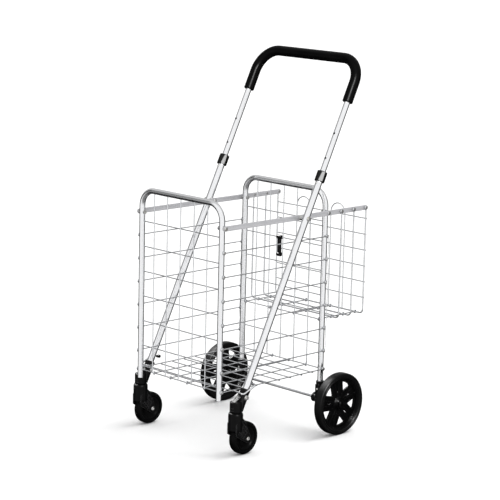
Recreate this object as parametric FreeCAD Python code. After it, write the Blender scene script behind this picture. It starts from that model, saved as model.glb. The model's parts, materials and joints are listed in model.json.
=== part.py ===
import FreeCAD, Part
import math
import os

# Folding shopping trolley: two wire-filled U frames joined by flat rails, side wires and
# a floor grid that fold as one parallelogram, a small rear basket that hangs from the
# rails, a sloping telescopic handle frame with swivel casters, and two rear wheels.
# Millimetres. +X points forward (towards the casters), +Y to the trolley's left, +Z up.
# The origin is on the floor, at the middle of the trolley's outline.

# --- Wire and tube stock ---
WIRE_R = 1.5                    # thin mesh wire
HANGER_R = 2.0                  # thicker wire of the rear basket's hangers
BAIL_R = 2.5                    # guide bail round the handle tube
WELD_SINK = 0.4                 # how far two crossing wires sink into each other
RING_GAP = 0.3                  # play between a wire eye and what it turns on
RUNNING_GAP = 0.1               # radial play of a pin or shaft that turns in a bore
SEAT_GAP = 0.05                 # radial play of a part that is seated and stays still
FRAME_TUBE_R = 8.0
FRAME_WALL = 1.2

# --- U frames ---
LEG_Y = 157.0                   # half the distance between the legs of a frame
FRAME_SPACING = 391.0           # rear frame plane to front frame plane
FRAME_TOP_Z = 676.0
FRAME_BEND = 45.0
REAR_LEG_BOTTOM_Z = 100.0
FRONT_LEG_BOTTOM_Z = 150.0
TOP_WIRE_Z = 589.0
BOTTOM_WIRE_Z = 173.0
PANEL_ROWS = 7
PANEL_COLUMNS = 5
EXTRA_WIRE_RISE = 11.0          # second bottom wire of the front panel
ROW_PITCH = (TOP_WIRE_Z - BOTTOM_WIRE_Z) / (PANEL_ROWS - 1)
COLUMN_PITCH = 2 * LEG_Y / (PANEL_COLUMNS + 1)

# --- Flat side rails and the pins through them ---
RAIL_Z = 614.0
RAIL_Y = 169.2
RAIL_THICKNESS = 2.5
RAIL_HEIGHT = 14.0
RAIL_PIN_R = 3.0
RAIL_HEAD_R = 5.5
RAIL_HEAD_LENGTH = 3.0
RIVET_R = 2.0
RIVET_HEAD_R = 3.5
RIVET_HEAD_LENGTH = 1.2
PART_GAP = 0.3                  # side gap between neighbouring parts on one pin

# --- Side wires and the pins they hook on ---
SIDE_WIRE_COUNT = 6
SIDE_WIRE_PITCH = 64.8
SIDE_WIRE_Y = 167.5
HOOK_PIN_R = 2.0
HOOK_HEAD_R = 3.2
HOOK_HEAD_LENGTH = 1.0
HOOK_HEAD_Y = 169.3
KEEPER_R = 0.9
KEEPER_BOW = 3.0                # how far the keeper wire bows rearward between pins

# --- Floor grid ---
FLOOR_INNER_Y = (33.3, 100.0)
FLOOR_CROSS_COUNT = 8

# --- Rear basket ---
BASKET_DEPTH = 149.0            # rear frame plane to the basket's back panel
HANGER_COUNT = 2
HANGER_Y = 172.8
HANGER_BEND = 12.0
BASKET_FLOOR_Z = TOP_WIRE_Z - 4 * ROW_PITCH
BASKET_ROWS = 6
BASKET_TOP_ROW_DROP = 31.0
BASKET_ROW_PITCH = 45.3
ARCH_CENTRE_Y = 67.0
ARCH_R = 27.0
BASKET_FLOOR_Y = (48.0, 144.0)

# --- Handle ---
HANDLE_Y = 191.0
HANDLE_LEAN = math.radians(26.05)
HANDLE_PIVOT_AHEAD = 111.5      # handle pivot ahead of the rear frame plane
LOWER_TUBE_R = 9.5
LOWER_TUBE_BOTTOM = -529.0      # distances along the tube are measured up from the pivot
LOWER_TUBE_TOP = 125.0
UPPER_TUBE_R = 8.2
HANDLE_WALL = 1.2
UPPER_TUBE_BOTTOM = 82.0
HANDLE_CORNER = 463.5
HANDLE_BEND = 67.0
GRIP_R = 14.5
GRIP_REACH = 125.0              # how far the grip runs down each leg from the corner
GRIP_EDGE = 2.0
BUTTON_UP = 100.0
BUTTON_R = 3.0
BUTTON_TRAVEL = 2.8
HOLE_PITCH = 72.5
HOLE_COUNT = 3
COLLAR_R = 14.0
COLLAR_BOTTOM = 106.5
COLLAR_LENGTH = 30.0
COLLAR_EDGE = 1.5
BOLT_R = 3.0
BOLT_HEAD_R = 5.0
BOLT_HEAD_LENGTH = 3.6
WASHER_R = 7.0
WASHER_THICKNESS = 1.0
SPACER_R = 7.0
NUT_LENGTH = 4.0
BOLT_TIP = 1.0                  # how far a shank shows beyond its nut
PIN_HEAD_EDGE = 1.2

# --- Guide bails ---
BAIL_OUTER_Y = 207.0
BAIL_INNER_Y = 170.6
BAIL_END_Y = 181.0
BAIL_BEND = 7.0
BAIL_WELD_AHEAD = 347.0         # distances ahead of the rear frame plane
BAIL_FRONT_AHEAD = 349.0
BAIL_REAR_AHEAD = 303.0
BAIL_END_AHEAD = 300.0
BAIL_WELD_Z = 172.0
BAIL_FRONT_Z = 169.0
BAIL_REAR_Z = 188.0
BAIL_END_Z = 189.0
BAIL_CAP_R = 4.5
BAIL_CAP_LENGTH = 12.0
BAIL_CAP_SINK = 10.0            # how far a cap is pushed over the end of a bail
BAIL_CAP_EDGE = 1.5

# --- Caster brackets, forks and wheels ---
CASTER_AHEAD = 360.0            # swivel axis ahead of the rear frame plane
CASTER_TRAIL = 30.0
CASTER_WHEEL_R = 45.0
CASTER_WHEEL_WIDTH = 24.0
CASTER_TREAD = 10.0             # radial thickness of the caster's tyre
CASTER_SHOULDER = 6.0
CASTER_AXLE_R = 4.0
CASTER_AXLE_HEAD_R = 5.5
CASTER_AXLE_HEAD_LENGTH = 2.5
SLEEVE_R = 13.0
SLEEVE_TOP = -486.0
SLEEVE_BOTTOM = -541.0
SLEEVE_EDGE = 1.0
BRACKET_BOLT_UP = -508.0
BRACKET_BOSS_R = 8.0
GUSSET_HALF = 8.0
GUSSET_BACK = 24.0              # behind the swivel axis, at the top
GUSSET_FOOT_BACK = 18.0
GUSSET_FRONT = 14.0
GUSSET_TOP_Z = 173.5
GUSSET_FRONT_Z = 145.5
GUSSET_FOOT_Z = 121.0
SLOT_RISES = (9.0, 16.0)        # slots in the front of the socket
SLOT_WIDTH = 12.0
SLOT_HEIGHT = 2.5
SLOT_DEPTH = 2.5
SWIVEL_R = 16.5
SWIVEL_BOTTOM_Z = 119.0
SWIVEL_TOP_Z = 149.0
FORK_R = 20.0
FORK_BOTTOM_Z = 70.0
FORK_TOP_Z = 118.5
FORK_EDGE = 3.0
FORK_GAP = 14.0                 # half the space between the fork's arms
FORK_ARM = 4.0
WHEEL_ROOM = 3.0                # space between the fork and the wheel's tread
ARM_BOSS_R = 11.0
ARM_BOSS_DEGREES = (160, 296)   # part of the boss that shows in the arm's outline
ARM_BOSS_STEPS = 8
ARM_FRONT = 12.0                # ahead of the swivel axis
ARM_FRONT_TOP_Z = 89.0
ARM_FRONT_BOTTOM_Z = 59.0
ARM_SHOULDER_BACK = (10.0, 18.0)
ARM_SHOULDER_Z = (106.0, 98.0)
CELL_PITCH = 8.0                # square pockets in the arms, on a grid at 45 degrees
CELL_HALF = 2.9
CELL_DEPTH = 1.2
CELL_ROWS = 3
CELL_COLUMNS = 2
CELL_BACK = 1.0
CELL_Z = 74.0
HUB_INSET = 3.0                 # caster hub faces set in from the tyre's sides
HUB_RECESS = 3.0
HUB_RECESS_R = 27.0
CASTER_BOSS_R = 9.0
STEM_R = 5.0
STEM_BOTTOM_Z = 96.0
STEM_TOP_Z = 143.0

# --- Rear wheels and their axle ---
AXLE_R = 3.5
REAR_WHEEL_R = 87.0
REAR_WHEEL_WIDTH = 26.0
REAR_WHEEL_Y = 229.0
REAR_SHOULDER = 5.0
RIM_R = 74.0
RIM_WIDTH = 23.0
RIM_WALL = 4.0
SPOKE_COUNT = 5
SPOKE_DEPTH = 6.0
SPOKE_INSET = 2.0               # spoke disc inward of the wheel's middle
FIRST_WINDOW = math.radians(117)
WINDOW_APEX = 35.0
WINDOW_BASE = 62.0
WINDOW_SPREAD = math.radians(15)
SPOKE_SLOT_INNER = 33.0
SPOKE_SLOT_OUTER = 47.0
SPOKE_SLOT_HALF = 1.7
HUB_R = 13.0
HUB_REACH = 9.0                 # hub's outer face, outward from the wheel's middle
AXLE_REACH = 8.5
HUB_CAP_R = 11.0
HUB_CAP_LENGTH = 4.0
HUB_CAP_EDGE = 1.5
HOUSING_R = 11.0
HOUSING_TOP_Z = 137.0
HOUSING_INNER_Y = 135.0
HOUSING_FLANGE_R = 13.5
HOUSING_FLANGE_LENGTH = 4.0
WHEEL_SIDE_GAP = 1.0            # between the housing and the wheel's inner face
SCREW_Z = 115.0
SCREW_R = 1.6
SCREW_HEAD_R = 3.2
SCREW_HEAD_LENGTH = 2.0
SCREW_HEAD_EDGE = 1.0
SCREW_TIP = 4.0                 # screw tip, ahead of the leg's axis

# --- Fold clip ---
CLIP_Y = -16.0
CLIP_WIDTH = 16.0
CLIP_BARREL_WIDTH = 21.0
CLIP_BARREL_R = 6.0
CLIP_LENGTH = 44.0
CLIP_THICKNESS = 4.0
CLIP_HOOK_R = 6.5
CLIP_HOOK_INNER_R = 3.2
CLIP_OPENING = 5.1

# --- Places worked out from the sizes above ---
REAR_REACH = BASKET_DEPTH + RAIL_HEIGHT / 2
FRONT_REACH = FRAME_SPACING + FRAME_TUBE_R
REAR_X = (REAR_REACH - FRONT_REACH) / 2
FRONT_X = REAR_X + FRAME_SPACING
BASKET_X = REAR_X - BASKET_DEPTH
PIVOT_X = REAR_X + HANDLE_PIVOT_AHEAD
CASTER_X = REAR_X + CASTER_AHEAD
CASTER_AXLE_X = CASTER_X - CASTER_TRAIL
RAIL_INNER_Y = RAIL_Y - RAIL_THICKNESS / 2
RAIL_OUTER_Y = RAIL_Y + RAIL_THICKNESS / 2
LEG_OUTER_Y = LEG_Y + FRAME_TUBE_R
LEG_INNER_Y = LEG_Y - FRAME_TUBE_R
WIRE_STEP = 2 * WIRE_R - WELD_SINK
SIDES = (1, -1)


def vec(x, y, z):
    return FreeCAD.Vector(x, y, z)


ALONG_Y = vec(0, 1, 0)
HANDLE_UP = vec(-math.sin(HANDLE_LEAN), 0, math.cos(HANDLE_LEAN))
HANDLE_FRONT = vec(math.cos(HANDLE_LEAN), 0, math.sin(HANDLE_LEAN))


# --- Shape helpers ---

def rod(start, end, radius):
    """Round bar between two points."""
    span = end - start
    return Part.makeCylinder(radius, span.Length, start, span)


def cross_rod(x, z, start_y, end_y, radius):
    """Round bar along Y."""
    return rod(vec(x, start_y, z), vec(x, end_y, z), radius)


def upright(x, y, bottom_z, top_z, radius):
    """Round bar along Z."""
    return rod(vec(x, y, bottom_z), vec(x, y, top_z), radius)


def eye(x, y, z, inner_radius, wire_radius):
    """Wire ring round a pin that lies along Y."""
    return Part.makeTorus(inner_radius + wire_radius, wire_radius, vec(x, y, z), ALONG_Y)


def fuse(shapes):
    shapes = list(shapes)
    return shapes[0].multiFuse(shapes[1:]).removeSplitter()


def path_with_bends(points, bend):
    """Wire through the points, with each inner corner rounded."""
    edges = []
    start = points[0]
    for before, corner, after in zip(points, points[1:], points[2:]):
        back = (before - corner).normalize()
        ahead = (after - corner).normalize()
        half_angle = back.getAngle(ahead) / 2
        setback = bend / math.tan(half_angle)
        towards_centre = (back + ahead).normalize()
        centre = corner + towards_centre * (bend / math.sin(half_angle))
        arc_start = corner + back * setback
        arc_end = corner + ahead * setback
        edges.append(Part.makeLine(start, arc_start))
        edges.append(Part.Arc(arc_start, centre - towards_centre * bend, arc_end).toShape())
        start = arc_end
    edges.append(Part.makeLine(start, points[-1]))
    return Part.Wire(edges)


def bent_bar(points, radius, bend):
    """Round bar that follows the points with rounded corners."""
    circle = Part.makeCircle(radius, points[0], points[1] - points[0])
    return path_with_bends(points, bend).makePipeShell([Part.Wire(circle)], True, False)


def bent_tube(points, radius, wall, bend):
    return bent_bar(points, radius, bend).cut(bent_bar(points, radius - wall, bend))


def round_edges(shape, radius, level=None):
    """Fillet a shape's full circular edges, or only those at one Y level."""
    circles = [edge for edge in shape.Edges if isinstance(edge.Curve, Part.Circle)]
    if level is not None:
        circles = [edge for edge in circles if abs(edge.Curve.Center.y - level) < 1e-6]
    return shape.makeFillet(radius, circles)


def disc(centre, radius, width, edge=0.0):
    """Disc about an axis along Y, centred on a point, with rounded rims."""
    shape = Part.makeCylinder(radius, width, centre - ALONG_Y * (width / 2), ALONG_Y)
    return round_edges(shape, edge) if edge else shape


def hexagon_bar(x, z, start_y, end_y, across_flats):
    """Hexagonal nut or bolt head whose axis lies along Y."""
    radius = across_flats / math.sqrt(3)
    angles = [math.radians(60 * step) for step in range(7)]
    corners = [vec(x + radius * math.cos(a), start_y, z + radius * math.sin(a)) for a in angles]
    return Part.Face(Part.makePolygon(corners)).extrude(vec(0, end_y - start_y, 0))


def prism_y(outline, start_y, end_y):
    """Solid with an XZ outline, extruded along Y."""
    corners = [vec(x, start_y, z) for x, z in outline]
    face = Part.Face(Part.makePolygon(corners + corners[:1]))
    return face.extrude(vec(0, end_y - start_y, 0))


def mirrored(shape):
    """The right-hand twin of a left-hand piece."""
    return shape.mirror(vec(0, 0, 0), ALONG_Y)


def mirrored_pair(shape):
    """The left piece and its twin on the right, as separate solids."""
    return Part.makeCompound([shape, mirrored(shape)])


def on_handle(up, side=1):
    """Point on a handle tube's axis, measured up from the handle pivot."""
    return vec(PIVOT_X, side * HANDLE_Y, RAIL_Z) + HANDLE_UP * up


def save(name, shape):
    shape.exportStep(os.path.join("parts", name + ".step"))


def save_both(name, left_shape):
    save(name + "_left", left_shape)
    save(name + "_right", mirrored(left_shape))


# --- U frames and their wire panels ---

def frame_path(x, bottom_z):
    return [vec(x, -LEG_Y, bottom_z), vec(x, -LEG_Y, FRAME_TOP_Z),
            vec(x, LEG_Y, FRAME_TOP_Z), vec(x, LEG_Y, bottom_z)]


def frame_outside(x, bottom_z):
    return bent_bar(frame_path(x, bottom_z), FRAME_TUBE_R, FRAME_BEND)


def frame_tube(x, bottom_z):
    """U-shaped tube, drilled through each leg for the rail pins."""
    tube = bent_tube(frame_path(x, bottom_z), FRAME_TUBE_R, FRAME_WALL, FRAME_BEND)
    for side in SIDES:
        leg_centre = vec(x, side * LEG_Y, RAIL_Z)
        tube = tube.cut(disc(leg_centre, RAIL_PIN_R + RUNNING_GAP, 3 * FRAME_TUBE_R))
    return tube


def rear_frame_tube():
    """The rear frame also takes a screw through each leg, inside its axle housing."""
    tube = frame_tube(REAR_X, REAR_LEG_BOTTOM_Z)
    for side in SIDES:
        leg_axis = vec(REAR_X, side * LEG_Y, SCREW_Z)
        tube = tube.cut(rod(leg_axis, leg_axis + vec(2 * FRAME_TUBE_R, 0, 0), SCREW_R + RUNNING_GAP))
    return tube


def panel_wires(x, bottom_z, row_heights):
    """Welded wire panel whose ends butt against the frame tube."""
    rows = [cross_rod(x, z, -LEG_Y, LEG_Y, WIRE_R) for z in row_heights]
    columns = []
    for index in range(PANEL_COLUMNS):
        y = (index + 1) * COLUMN_PITCH - LEG_Y
        columns.append(upright(x + WIRE_STEP, y, BOTTOM_WIRE_Z - WIRE_R, FRAME_TOP_Z, WIRE_R))
    return fuse(rows + columns).cut(frame_outside(x, bottom_z))


def panel_row_heights():
    return [TOP_WIRE_Z - row * ROW_PITCH for row in range(PANEL_ROWS)]


def side_wire_heights():
    return [RAIL_Z - (index + 1) * SIDE_WIRE_PITCH for index in range(SIDE_WIRE_COUNT)]


def hook_pins(x):
    """Headed pins on the outside of both legs, for the side wires and the floor grid."""
    pins = []
    for z in side_wire_heights() + [BOTTOM_WIRE_Z]:
        shank = cross_rod(x, z, LEG_Y, HOOK_HEAD_Y, HOOK_PIN_R)
        shank = shank.cut(upright(x, LEG_Y, z - FRAME_TUBE_R, z + FRAME_TUBE_R, FRAME_TUBE_R))
        head = cross_rod(x, z, HOOK_HEAD_Y, HOOK_HEAD_Y + HOOK_HEAD_LENGTH, HOOK_HEAD_R)
        pin = shank.fuse(head)
        pins += [pin, mirrored(pin)]
    return Part.makeCompound(pins)


def hook_keeper_wires():
    """Thin wire welded across the heads of the rear hook pins, bowed between them."""
    y = HOOK_HEAD_Y + HOOK_HEAD_LENGTH + KEEPER_R
    heights = side_wire_heights()
    points = [vec(REAR_X, y, heights[0])]
    for upper, lower in zip(heights, heights[1:]):
        points.append(vec(REAR_X - KEEPER_BOW, y, (upper + lower) / 2))
        points.append(vec(REAR_X, y, lower))
    return mirrored_pair(bent_bar(points, KEEPER_R, SIDE_WIRE_PITCH / 2))


def rail_pins(x):
    """Pins through a frame's legs and the rails: outer head, spacing washer and inner nut."""
    head_start = RAIL_OUTER_Y + PART_GAP
    shank = cross_rod(x, RAIL_Z, LEG_INNER_Y - NUT_LENGTH, head_start, RAIL_PIN_R)
    head = disc(vec(x, head_start + RAIL_HEAD_LENGTH / 2, RAIL_Z), RAIL_HEAD_R, RAIL_HEAD_LENGTH)
    head = round_edges(head, PIN_HEAD_EDGE, head_start + RAIL_HEAD_LENGTH)
    washer = cross_rod(x, RAIL_Z, LEG_OUTER_Y + PART_GAP, RAIL_INNER_Y - PART_GAP, RAIL_HEAD_R)
    nut_end = LEG_INNER_Y - PART_GAP
    nut = hexagon_bar(x, RAIL_Z, nut_end - NUT_LENGTH, nut_end, 2 * BOLT_HEAD_R)
    return mirrored_pair(fuse([shank, head, washer, nut]))


# --- Side rails ---

def hanger_places():
    """X of the two hangers and of the back panel."""
    return [REAR_X - BASKET_DEPTH * (index + 1) / (HANGER_COUNT + 1)
            for index in range(HANGER_COUNT + 1)]


def side_rail():
    """Flat bar with round ends, drilled for the frame pins, the handle bolt and the rivets."""
    start_y = RAIL_Y - RAIL_THICKNESS / 2
    half = RAIL_HEIGHT / 2
    bar = Part.makeBox(FRONT_X - BASKET_X, RAIL_THICKNESS, RAIL_HEIGHT,
                       vec(BASKET_X, start_y, RAIL_Z - half))
    ends = [disc(vec(x, RAIL_Y, RAIL_Z), half, RAIL_THICKNESS) for x in (BASKET_X, FRONT_X)]
    holes = [(x, RAIL_PIN_R + RUNNING_GAP) for x in (REAR_X, FRONT_X, PIVOT_X)]
    holes += [(x, RIVET_R + SEAT_GAP) for x in hanger_places()]
    drills = [disc(vec(x, RAIL_Y, RAIL_Z), radius, 3 * RAIL_THICKNESS)
              for x, radius in holes]
    return fuse([bar] + ends).cut(drills)


def hanger_rivets():
    """Rivets that carry the basket's hangers on the outside of the rails."""
    inner_y = RAIL_INNER_Y - SEAT_GAP
    outer_y = HANGER_Y + HANGER_R + PART_GAP
    rivets = []
    for x in hanger_places():
        shank = cross_rod(x, RAIL_Z, inner_y, outer_y, RIVET_R)
        inner_head = cross_rod(x, RAIL_Z, inner_y - RIVET_HEAD_LENGTH, inner_y, RIVET_HEAD_R)
        outer_head = cross_rod(x, RAIL_Z, outer_y, outer_y + RIVET_HEAD_LENGTH, RIVET_HEAD_R)
        rivet = fuse([shank, inner_head, outer_head])
        rivets += [rivet, mirrored(rivet)]
    return Part.makeCompound(rivets)


# --- Side wires and floor grid ---

def side_wire(z):
    """One horizontal wire on each side, with an eye round a hook pin at each end."""
    inner = HOOK_PIN_R + RING_GAP
    start_x = REAR_X + inner + WIRE_R
    end_x = FRONT_X - inner - WIRE_R
    wire = rod(vec(start_x, SIDE_WIRE_Y, z), vec(end_x, SIDE_WIRE_Y, z), WIRE_R)
    eyes = [eye(x, SIDE_WIRE_Y, z, inner, WIRE_R) for x in (REAR_X, FRONT_X)]
    return mirrored_pair(fuse([wire] + eyes))


def floor_grid():
    """Basket floor: long wires hooked on both frames, with cross wires welded below."""
    parts = []
    for y in FLOOR_INNER_Y + (SIDE_WIRE_Y,):
        pin_radius = HOOK_PIN_R if y == SIDE_WIRE_Y else WIRE_R
        inner = pin_radius + RING_GAP
        for side in SIDES:
            start = vec(REAR_X + inner + WIRE_R, side * y, BOTTOM_WIRE_Z)
            end = vec(FRONT_X - inner - WIRE_R, side * y, BOTTOM_WIRE_Z)
            parts.append(rod(start, end, WIRE_R))
            parts += [eye(x, side * y, BOTTOM_WIRE_Z, inner, WIRE_R) for x in (REAR_X, FRONT_X)]
    for index in range(FLOOR_CROSS_COUNT):
        x = REAR_X + FRAME_SPACING * (index + 1) / (FLOOR_CROSS_COUNT + 1)
        parts.append(cross_rod(x, BOTTOM_WIRE_Z - WIRE_STEP, -SIDE_WIRE_Y - WIRE_R,
                               SIDE_WIRE_Y + WIRE_R, WIRE_R))
    return fuse(parts)


# --- Rear basket ---

def hanger_loop(x):
    """U-shaped wire that hangs from a rivet on each rail and crosses under the basket."""
    inner = RIVET_R + RING_GAP
    top_z = RAIL_Z - inner - HANGER_R
    points = [vec(x, -HANGER_Y, top_z), vec(x, -HANGER_Y, BASKET_FLOOR_Z),
              vec(x, HANGER_Y, BASKET_FLOOR_Z), vec(x, HANGER_Y, top_z)]
    eyes = [eye(x, side * HANGER_Y, RAIL_Z, inner, HANGER_R) for side in SIDES]
    return fuse([bent_bar(points, HANGER_R, HANGER_BEND)] + eyes)


def basket_back():
    """Back panel: a hanger loop filled with two arched wires and cross wires."""
    arch_top = RAIL_Z - WIRE_R
    arches = []
    for side in SIDES:
        low_y = side * ARCH_CENTRE_Y - ARCH_R
        high_y = side * ARCH_CENTRE_Y + ARCH_R
        foot_z = BASKET_FLOOR_Z
        points = [vec(BASKET_X, low_y, foot_z), vec(BASKET_X, low_y, arch_top),
                  vec(BASKET_X, high_y, arch_top), vec(BASKET_X, high_y, foot_z)]
        arches.append(bent_bar(points, WIRE_R, ARCH_R - SEAT_GAP))
    rows = []
    for row in range(BASKET_ROWS):
        z = RAIL_Z - BASKET_TOP_ROW_DROP - row * BASKET_ROW_PITCH
        rows.append(cross_rod(BASKET_X - WIRE_STEP, z, -HANGER_Y - WIRE_R, HANGER_Y + WIRE_R, WIRE_R))
    return fuse([hanger_loop(BASKET_X)] + arches + rows)


def basket_floor():
    """Long wires hooked on the rear frame, with an eye round each hanger's bottom wire."""
    stations = [(REAR_X, WIRE_R + RING_GAP)]
    stations += [(x, HANGER_R + RING_GAP) for x in hanger_places()]
    wires = []
    for y in BASKET_FLOOR_Y:
        parts = [eye(x, y, BASKET_FLOOR_Z, inner, WIRE_R) for x, inner in stations]
        for (front_x, front_inner), (back_x, back_inner) in zip(stations, stations[1:]):
            start = vec(front_x - front_inner - WIRE_R, y, BASKET_FLOOR_Z)
            end = vec(back_x + back_inner + WIRE_R, y, BASKET_FLOOR_Z)
            parts.append(rod(start, end, WIRE_R))
        wire = fuse(parts)
        wires += [wire, mirrored(wire)]
    middle_x = (REAR_X + BASKET_X) / 2
    reach = max(BASKET_FLOOR_Y)
    tie = cross_rod(middle_x, BASKET_FLOOR_Z - WIRE_STEP, -reach, reach, WIRE_R)
    return fuse(wires + [tie])


# --- Handle ---

def lower_tube():
    """Lower handle tube, drilled for the pivot bolt, the bracket bolt and the snap button."""
    bottom = on_handle(LOWER_TUBE_BOTTOM)
    top = on_handle(LOWER_TUBE_TOP)
    tube = rod(bottom, top, LOWER_TUBE_R).cut(rod(bottom, top, LOWER_TUBE_R - HANDLE_WALL))
    for up in (0, BRACKET_BOLT_UP):
        tube = tube.cut(disc(on_handle(up), BOLT_R + RUNNING_GAP, 3 * LOWER_TUBE_R))
    button_seat = on_handle(BUTTON_UP)
    return tube.cut(rod(button_seat, button_seat + HANDLE_FRONT * (2 * LOWER_TUBE_R),
                        BUTTON_R + RUNNING_GAP))


def handle_collar():
    """Glossy sleeve over the joint between the lower and the upper tube."""
    bottom = on_handle(COLLAR_BOTTOM)
    top = on_handle(COLLAR_BOTTOM + COLLAR_LENGTH)
    step = on_handle(LOWER_TUBE_TOP + PART_GAP)
    shell = round_edges(rod(bottom, top, COLLAR_R), COLLAR_EDGE)
    shell = shell.cut(rod(bottom, step, LOWER_TUBE_R + SEAT_GAP))
    return shell.cut(rod(step, top, UPPER_TUBE_R + RUNNING_GAP))


def handle_bar_path(leg_end):
    return [on_handle(leg_end, -1), on_handle(HANDLE_CORNER, -1),
            on_handle(HANDLE_CORNER, 1), on_handle(leg_end, 1)]


def handle_bar_tube():
    """U-shaped upper tube with a row of snap holes in the front of each leg."""
    tube = bent_tube(handle_bar_path(UPPER_TUBE_BOTTOM), UPPER_TUBE_R, HANDLE_WALL, HANDLE_BEND)
    for side in SIDES:
        for index in range(HOLE_COUNT):
            seat = on_handle(BUTTON_UP + index * HOLE_PITCH, side)
            tube = tube.cut(rod(seat, seat + HANDLE_FRONT * (2 * UPPER_TUBE_R), BUTTON_R + RING_GAP))
    return tube


def handle_grip():
    """Soft sleeve over the top of the handle, with rounded ends."""
    path = handle_bar_path(HANDLE_CORNER - GRIP_REACH)
    outside = round_edges(bent_bar(path, GRIP_R, HANDLE_BEND), GRIP_EDGE)
    return outside.cut(bent_bar(path, UPPER_TUBE_R + SEAT_GAP, HANDLE_BEND))


def snap_button():
    """Domed button in the lower tube's wall; pressed, it enters a hole of the upper tube."""
    axis = on_handle(BUTTON_UP)
    inner = axis + HANDLE_FRONT * (UPPER_TUBE_R + RUNNING_GAP)
    outer = axis + HANDLE_FRONT * (LOWER_TUBE_R + BUTTON_TRAVEL)
    return round_outer_end(rod(inner, outer, BUTTON_R), outer, BUTTON_R / 2)


def round_outer_end(shape, end, radius):
    """Fillet the circular edge whose centre is at a given point."""
    edges = [edge for edge in shape.Edges
             if isinstance(edge.Curve, Part.Circle) and (edge.Curve.Center - end).Length < 1e-6]
    return shape.makeFillet(radius, edges)


def handle_pivot_bolts():
    """Bolts through the lower tubes and the rails: washer and head outside, nut inside."""
    tube_outer_y = HANDLE_Y + LOWER_TUBE_R
    washer_end = tube_outer_y + PART_GAP + WASHER_THICKNESS
    nut_end = RAIL_INNER_Y - SEAT_GAP
    nut_start = nut_end - NUT_LENGTH
    shank = cross_rod(PIVOT_X, RAIL_Z, nut_start - BOLT_TIP, tube_outer_y + PART_GAP, BOLT_R)
    washer = cross_rod(PIVOT_X, RAIL_Z, tube_outer_y + PART_GAP, washer_end, WASHER_R)
    head = hexagon_bar(PIVOT_X, RAIL_Z, washer_end, washer_end + BOLT_HEAD_LENGTH, 2 * BOLT_HEAD_R)
    nut = hexagon_bar(PIVOT_X, RAIL_Z, nut_start, nut_end, 2 * BOLT_HEAD_R)
    return mirrored_pair(fuse([shank, washer, head, nut]))


def handle_spacers():
    """Spacers on the pivot bolts, between each rail and its handle tube."""
    start_y = RAIL_OUTER_Y + SEAT_GAP
    end_y = HANDLE_Y - LOWER_TUBE_R - PART_GAP
    spacer = cross_rod(PIVOT_X, RAIL_Z, start_y, end_y, SPACER_R)
    return mirrored_pair(spacer.cut(cross_rod(PIVOT_X, RAIL_Z, start_y, end_y, BOLT_R + SEAT_GAP)))


# --- Guide bails ---

def bail_path():
    """From beside the floor grid, outward, back past the tube, then in behind it."""
    return [vec(REAR_X + BAIL_WELD_AHEAD, BAIL_INNER_Y, BAIL_WELD_Z),
            vec(REAR_X + BAIL_FRONT_AHEAD, BAIL_OUTER_Y, BAIL_FRONT_Z),
            vec(REAR_X + BAIL_REAR_AHEAD, BAIL_OUTER_Y, BAIL_REAR_Z),
            vec(REAR_X + BAIL_END_AHEAD, BAIL_END_Y, BAIL_END_Z)]


def guide_bails():
    return mirrored_pair(bent_bar(bail_path(), BAIL_R, BAIL_BEND))


def bail_caps():
    """Plastic caps pushed over the free ends of the bails."""
    before, end = bail_path()[-2:]
    along = (end - before).normalize()
    start = end - along * BAIL_CAP_SINK
    tip = start + along * BAIL_CAP_LENGTH
    cap = round_edges(rod(start, tip, BAIL_CAP_R), BAIL_CAP_EDGE)
    return mirrored_pair(cap.cut(rod(start, end + along * PART_GAP, BAIL_R + SEAT_GAP)))


# --- Casters ---

def bracket_slots():
    """Cutters for two level slots in the front of the swivel socket."""
    front_x = CASTER_X + SWIVEL_R - SLOT_DEPTH
    return [Part.makeBox(2 * SLOT_DEPTH, SLOT_WIDTH, SLOT_HEIGHT,
                         vec(front_x, HANDLE_Y - SLOT_WIDTH / 2, SWIVEL_BOTTOM_Z + rise))
            for rise in SLOT_RISES]


def caster_bracket():
    """Plastic foot: sloping sleeve for the handle tube, joined to an upright swivel socket."""
    sleeve_top = on_handle(SLEEVE_TOP)
    sleeve = round_edges(rod(on_handle(SLEEVE_BOTTOM), sleeve_top, SLEEVE_R), SLEEVE_EDGE)
    socket = upright(CASTER_X, HANDLE_Y, SWIVEL_BOTTOM_Z, SWIVEL_TOP_Z, SWIVEL_R)
    gusset_outline = [(CASTER_X - GUSSET_BACK, GUSSET_TOP_Z),
                      (CASTER_X + GUSSET_FRONT, GUSSET_FRONT_Z),
                      (CASTER_X + GUSSET_FRONT, GUSSET_FOOT_Z),
                      (CASTER_X - GUSSET_FOOT_BACK, GUSSET_FOOT_Z)]
    gusset = prism_y(gusset_outline, HANDLE_Y - GUSSET_HALF, HANDLE_Y + GUSSET_HALF)
    seat = on_handle(BRACKET_BOLT_UP)
    boss = cross_rod(seat.x, seat.z, HANDLE_Y + LOWER_TUBE_R, HANDLE_Y + SLEEVE_R, BRACKET_BOSS_R)
    below_socket = Part.makeBox(6 * SWIVEL_R, 4 * SWIVEL_R, 2 * SWIVEL_R,
                                vec(CASTER_X - 4 * SWIVEL_R, HANDLE_Y - 2 * SWIVEL_R,
                                    SWIVEL_BOTTOM_Z - 2 * SWIVEL_R))
    tube_room = rod(on_handle(LOWER_TUBE_BOTTOM - PART_GAP), sleeve_top, LOWER_TUBE_R + SEAT_GAP)
    stem_room = upright(CASTER_X, HANDLE_Y, SWIVEL_BOTTOM_Z, STEM_TOP_Z + 1, STEM_R + RUNNING_GAP)
    bolt_room = disc(seat, BOLT_R + RUNNING_GAP, 3 * SLEEVE_R)
    body = fuse([sleeve, socket, gusset, boss])
    return body.cut([below_socket, tube_room, stem_room, bolt_room] + bracket_slots())


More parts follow.
